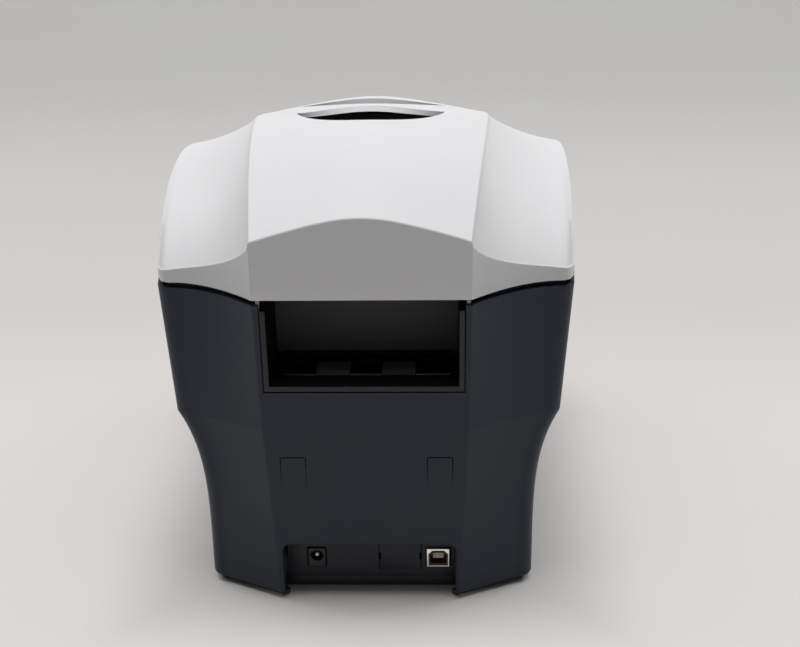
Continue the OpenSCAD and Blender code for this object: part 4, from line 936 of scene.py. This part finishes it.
class PRINTER_OT_stage(bpy.types.Operator):
    """Makes the pale sweep, the lamps and the camera"""

    bl_idname = "printer.stage"
    bl_label = "Studio"

    # the wall's grey, also shown past the paper's edge, and the even light's share of the paper's tone
    wall_grey, even_share = (0.55, 0.54, 0.53, 1), 0.62

    def execute(self, context):
        scene = context.scene
        scene.view_settings.view_transform = "Standard"
        self.sweep(scene)
        self.world(scene)
        self.lamp("ceiling_light", (0.0, -0.02, 2.3), (0.0, -0.02, 0.0), 2.0, 1.4, 37.0)
        for side in (-1, 1):
            self.lamp("side_light", (side * 1.6, -0.7, 1.8), (0.0, -0.05, 0.15), 1.1, 1.3, 17.0)
        self.lamp("room_light", (0.2, 1.9, 2.1), (0.0, 0.13, 0.15), 0.7, 0.3, 0.4)
        self.camera(scene)
        return {"FINISHED"}

    def sweep(self, scene):
        """One strip of paper: the floor, a wide bend and the wall behind"""
        width, bend_y, r = 12.0, -1.1, 0.9
        turns = [math.pi / 2 * i / 24 for i in range(25)]
        bend = [(bend_y - r * math.sin(a), r - r * math.cos(a)) for a in turns]
        profile = [(7.0, 0.0), (1.6, 0.0)] + bend + [(-2.0, 3.2)]
        bm = bmesh.new()
        verts = [bm.verts.new((-width / 2, y, z)) for y, z in profile]
        edges = [bm.edges.new(pair) for pair in zip(verts, verts[1:])]
        made = bmesh.ops.extrude_edge_only(bm, edges=edges)["geom"]
        far = [g for g in made if isinstance(g, bmesh.types.BMVert)]
        bmesh.ops.translate(bm, vec=(width, 0, 0), verts=far)
        orient(bm, bm.faces, 1)
        for face in bm.faces:
            face.smooth = True
        mesh = bpy.data.meshes.new("sweep")
        bm.to_mesh(mesh)
        bm.free()
        mesh.materials.append(self.sweep_finish())
        sweep = bpy.data.objects.new("sweep", mesh)
        scene.collection.objects.link(sweep)

    def lamp(self, name, place, aim, width, height, power):
        light = bpy.data.lights.new(name, "AREA")
        light.shape, light.size, light.size_y, light.energy = "RECTANGLE", width, height, power
        lamp = bpy.data.objects.new(name, light)
        lamp.location = place
        lamp.rotation_euler = (Vector(aim) - Vector(place)).to_track_quat("-Z", "Y").to_euler()
        bpy.context.scene.collection.objects.link(lamp)

    def world(self, scene):
        """Faint light all round; the camera, metal and glass see the wall's grey in its place"""
        world = bpy.data.worlds.new("studio")
        world.use_nodes = True
        scene.world = world
        tree = world.node_tree
        sky = tree.nodes["Background"]
        sky.inputs["Color"].default_value = (0.93, 0.95, 1.0, 1)
        sky.inputs["Strength"].default_value = 0.055
        shown = add(tree, "Background", {"Color": self.wall_grey})
        mixed = add(tree, "MixShader")
        wire(tree, (self.seen(tree), "Value", mixed, "Fac"), (sky, "Background", mixed, 1),
             (shown, "Background", mixed, 2), (mixed, "Shader", tree.nodes["World Output"], "Surface"))

    def seen(self, tree):
        """The node that is 1 for rays from the camera and for those that metal and glass send on"""
        rays = add(tree, "LightPath")
        direct = add(tree, "Math", operation="ADD")
        through = add(tree, "Math", operation="ADD", use_clamp=True)
        wire(tree, (rays, "Is Camera Ray", direct, 0), (rays, "Is Glossy Ray", direct, 1),
             (direct, "Value", through, 0), (rays, "Is Transmission Ray", through, 1))
        return through

    def sweep_finish(self):
        """Pale paper that the camera sees partly evenly lit, running from the floor's tone to the wall's"""
        material = bpy.data.materials.new("sweep_paper")
        material.use_nodes = True
        tree = material.node_tree
        shader = tree.nodes["Principled BSDF"]
        shader.inputs["Roughness"].default_value = 0.6
        where = add(tree, "TexCoord")
        parts = add(tree, "SeparateXYZ")
        span = add(tree, "MapRange", {"From Min": 0.7, "From Max": -1.9})
        tone = add(tree, "ValToRGB")
        ramp = tone.color_ramp
        ramp.interpolation = "EASE"
        ramp.elements[0].color = (0.88, 0.85, 0.83, 1)
        ramp.elements[1].position = 0.8
        ramp.elements[1].color = self.wall_grey
        ramp.elements.new(0.27).color = (0.785, 0.76, 0.742, 1)
        ramp.elements.new(0.385).color = (0.672, 0.655, 0.64, 1)
        mottled = add(tree, "TexNoise", {"Scale": 3.0, "Detail": 5.0})
        blend = add(tree, "Mix", {"Factor": 0.05}, data_type="RGBA", blend_type="MULTIPLY")
        # the lit share is a little darker, so that less light comes back up from the floor
        darker = add(tree, "VectorMath", {"Scale": 0.88}, operation="SCALE")
        glow = add(tree, "Emission")
        # no even light in a soft rectangle round the printer's footprint: painted shade that darkens the
        # floor there, so that the rendered contact shadow stays dark too
        reach = add(tree, "VectorMath", operation="ABSOLUTE")
        beyond = add(tree, "VectorMath", {1: (0.082, 0.118, 0)}, operation="SUBTRACT")
        away = add(tree, "SeparateXYZ")
        outside = add(tree, "Math", operation="MAXIMUM")
        clear = add(tree, "MapRange", {"From Max": 0.07}, interpolation_type="SMOOTHSTEP")
        unlit = add(tree, "Math", operation="MULTIPLY")
        share = add(tree, "Math", {1: self.even_share}, operation="MULTIPLY")
        mixed = add(tree, "MixShader")
        wire(tree, (where, "Object", parts, "Vector"), (parts, "Y", span, "Value"),
             (span, "Result", tone, "Fac"), (where, "Object", mottled, "Vector"),
             (tone, "Color", blend, "A"), (mottled, "Color", blend, "B"), (blend, "Result", glow, "Color"),
             (blend, "Result", darker, 0), (darker, "Vector", shader, "Base Color"),
             (where, "Object", reach, 0), (reach, "Vector", beyond, 0), (beyond, "Vector", away, "Vector"),
             (away, "X", outside, 0), (away, "Y", outside, 1), (outside, "Value", clear, "Value"),
             (self.seen(tree), "Value", unlit, 0), (clear, "Result", unlit, 1), (unlit, "Value", share, 0),
             (share, "Value", mixed, "Fac"), (shader, "BSDF", mixed, 1), (glow, "Emission", mixed, 2),
             (mixed, "Shader", tree.nodes["Material Output"], "Surface"))
        return material

    def camera(self, scene):
        """The photo's viewpoint, found by fitting a pinhole camera to the measured edges"""
        data = bpy.data.cameras.new("photo_camera")
        data.sensor_fit, data.sensor_width, data.lens = "HORIZONTAL", 36.0, 54.0
        data.clip_start = 0.02
        camera = bpy.data.objects.new("photo_camera", data)
        place = Vector((-0.0346662, 0.6450538, 0.3687354))
        pitch, yaw, roll = 0.3975, 0.0335, 0.0170
        # the view's own axes: x to the photo's right, y away, z up; the printer's X and Y are turned round
        ahead = Vector((-math.sin(yaw) * math.cos(pitch), math.cos(yaw) * math.cos(pitch), -math.sin(pitch)))
        right = Vector((math.cos(yaw), math.sin(yaw), 0))
        down = ahead.cross(right)
        across = math.cos(roll) * right + math.sin(roll) * down
        below = -math.sin(roll) * right + math.cos(roll) * down
        turn = Matrix.Rotation(math.pi, 3, "Z")
        across, below, ahead = turn @ across, turn @ below, turn @ ahead
        axes = Matrix((across, -below, -ahead)).transposed()
        camera.matrix_world = Matrix.Translation(place) @ axes.to_4x4()
        scene.collection.objects.link(camera)
        scene.camera = camera


class PRINTER_PT_panel(bpy.types.Panel):
    """Lists the printer's pieces"""

    bl_idname = "PRINTER_PT_panel"
    bl_label = "Card printer"
    bl_space_type = "VIEW_3D"
    bl_region_type = "UI"
    bl_category = "Card printer"

    def draw(self, context):
        for source in (context.scene.printer_sizes, context.scene.printer_colours):
            for key in source.__annotations__:
                self.layout.prop(source, key)
        for operator in OPERATORS:
            self.layout.operator(operator.bl_idname)


OPERATORS = (PRINTER_OT_case_shell, PRINTER_OT_lid_shell, PRINTER_OT_hopper, PRINTER_OT_sockets,
             PRINTER_OT_tabs, PRINTER_OT_finishes, PRINTER_OT_stage)
CLASSES = (PrinterSizes, PrinterColours, *OPERATORS, PRINTER_PT_panel)


def register():
    for cls in CLASSES:
        bpy.utils.register_class(cls)
    bpy.types.Scene.printer_sizes = bpy.props.PointerProperty(type=PrinterSizes)
    bpy.types.Scene.printer_colours = bpy.props.PointerProperty(type=PrinterColours)


def unregister():
    del bpy.types.Scene.printer_colours
    del bpy.types.Scene.printer_sizes
    for cls in reversed(CLASSES):
        bpy.utils.unregister_class(cls)


def main():
    register()
    bpy.ops.printer.case_shell()
    bpy.ops.printer.lid_shell()
    bpy.ops.printer.hopper()
    bpy.ops.printer.sockets()
    bpy.ops.printer.tabs()
    bpy.ops.printer.finishes()
    bpy.ops.printer.stage()


if __name__ == "__main__":
    main()
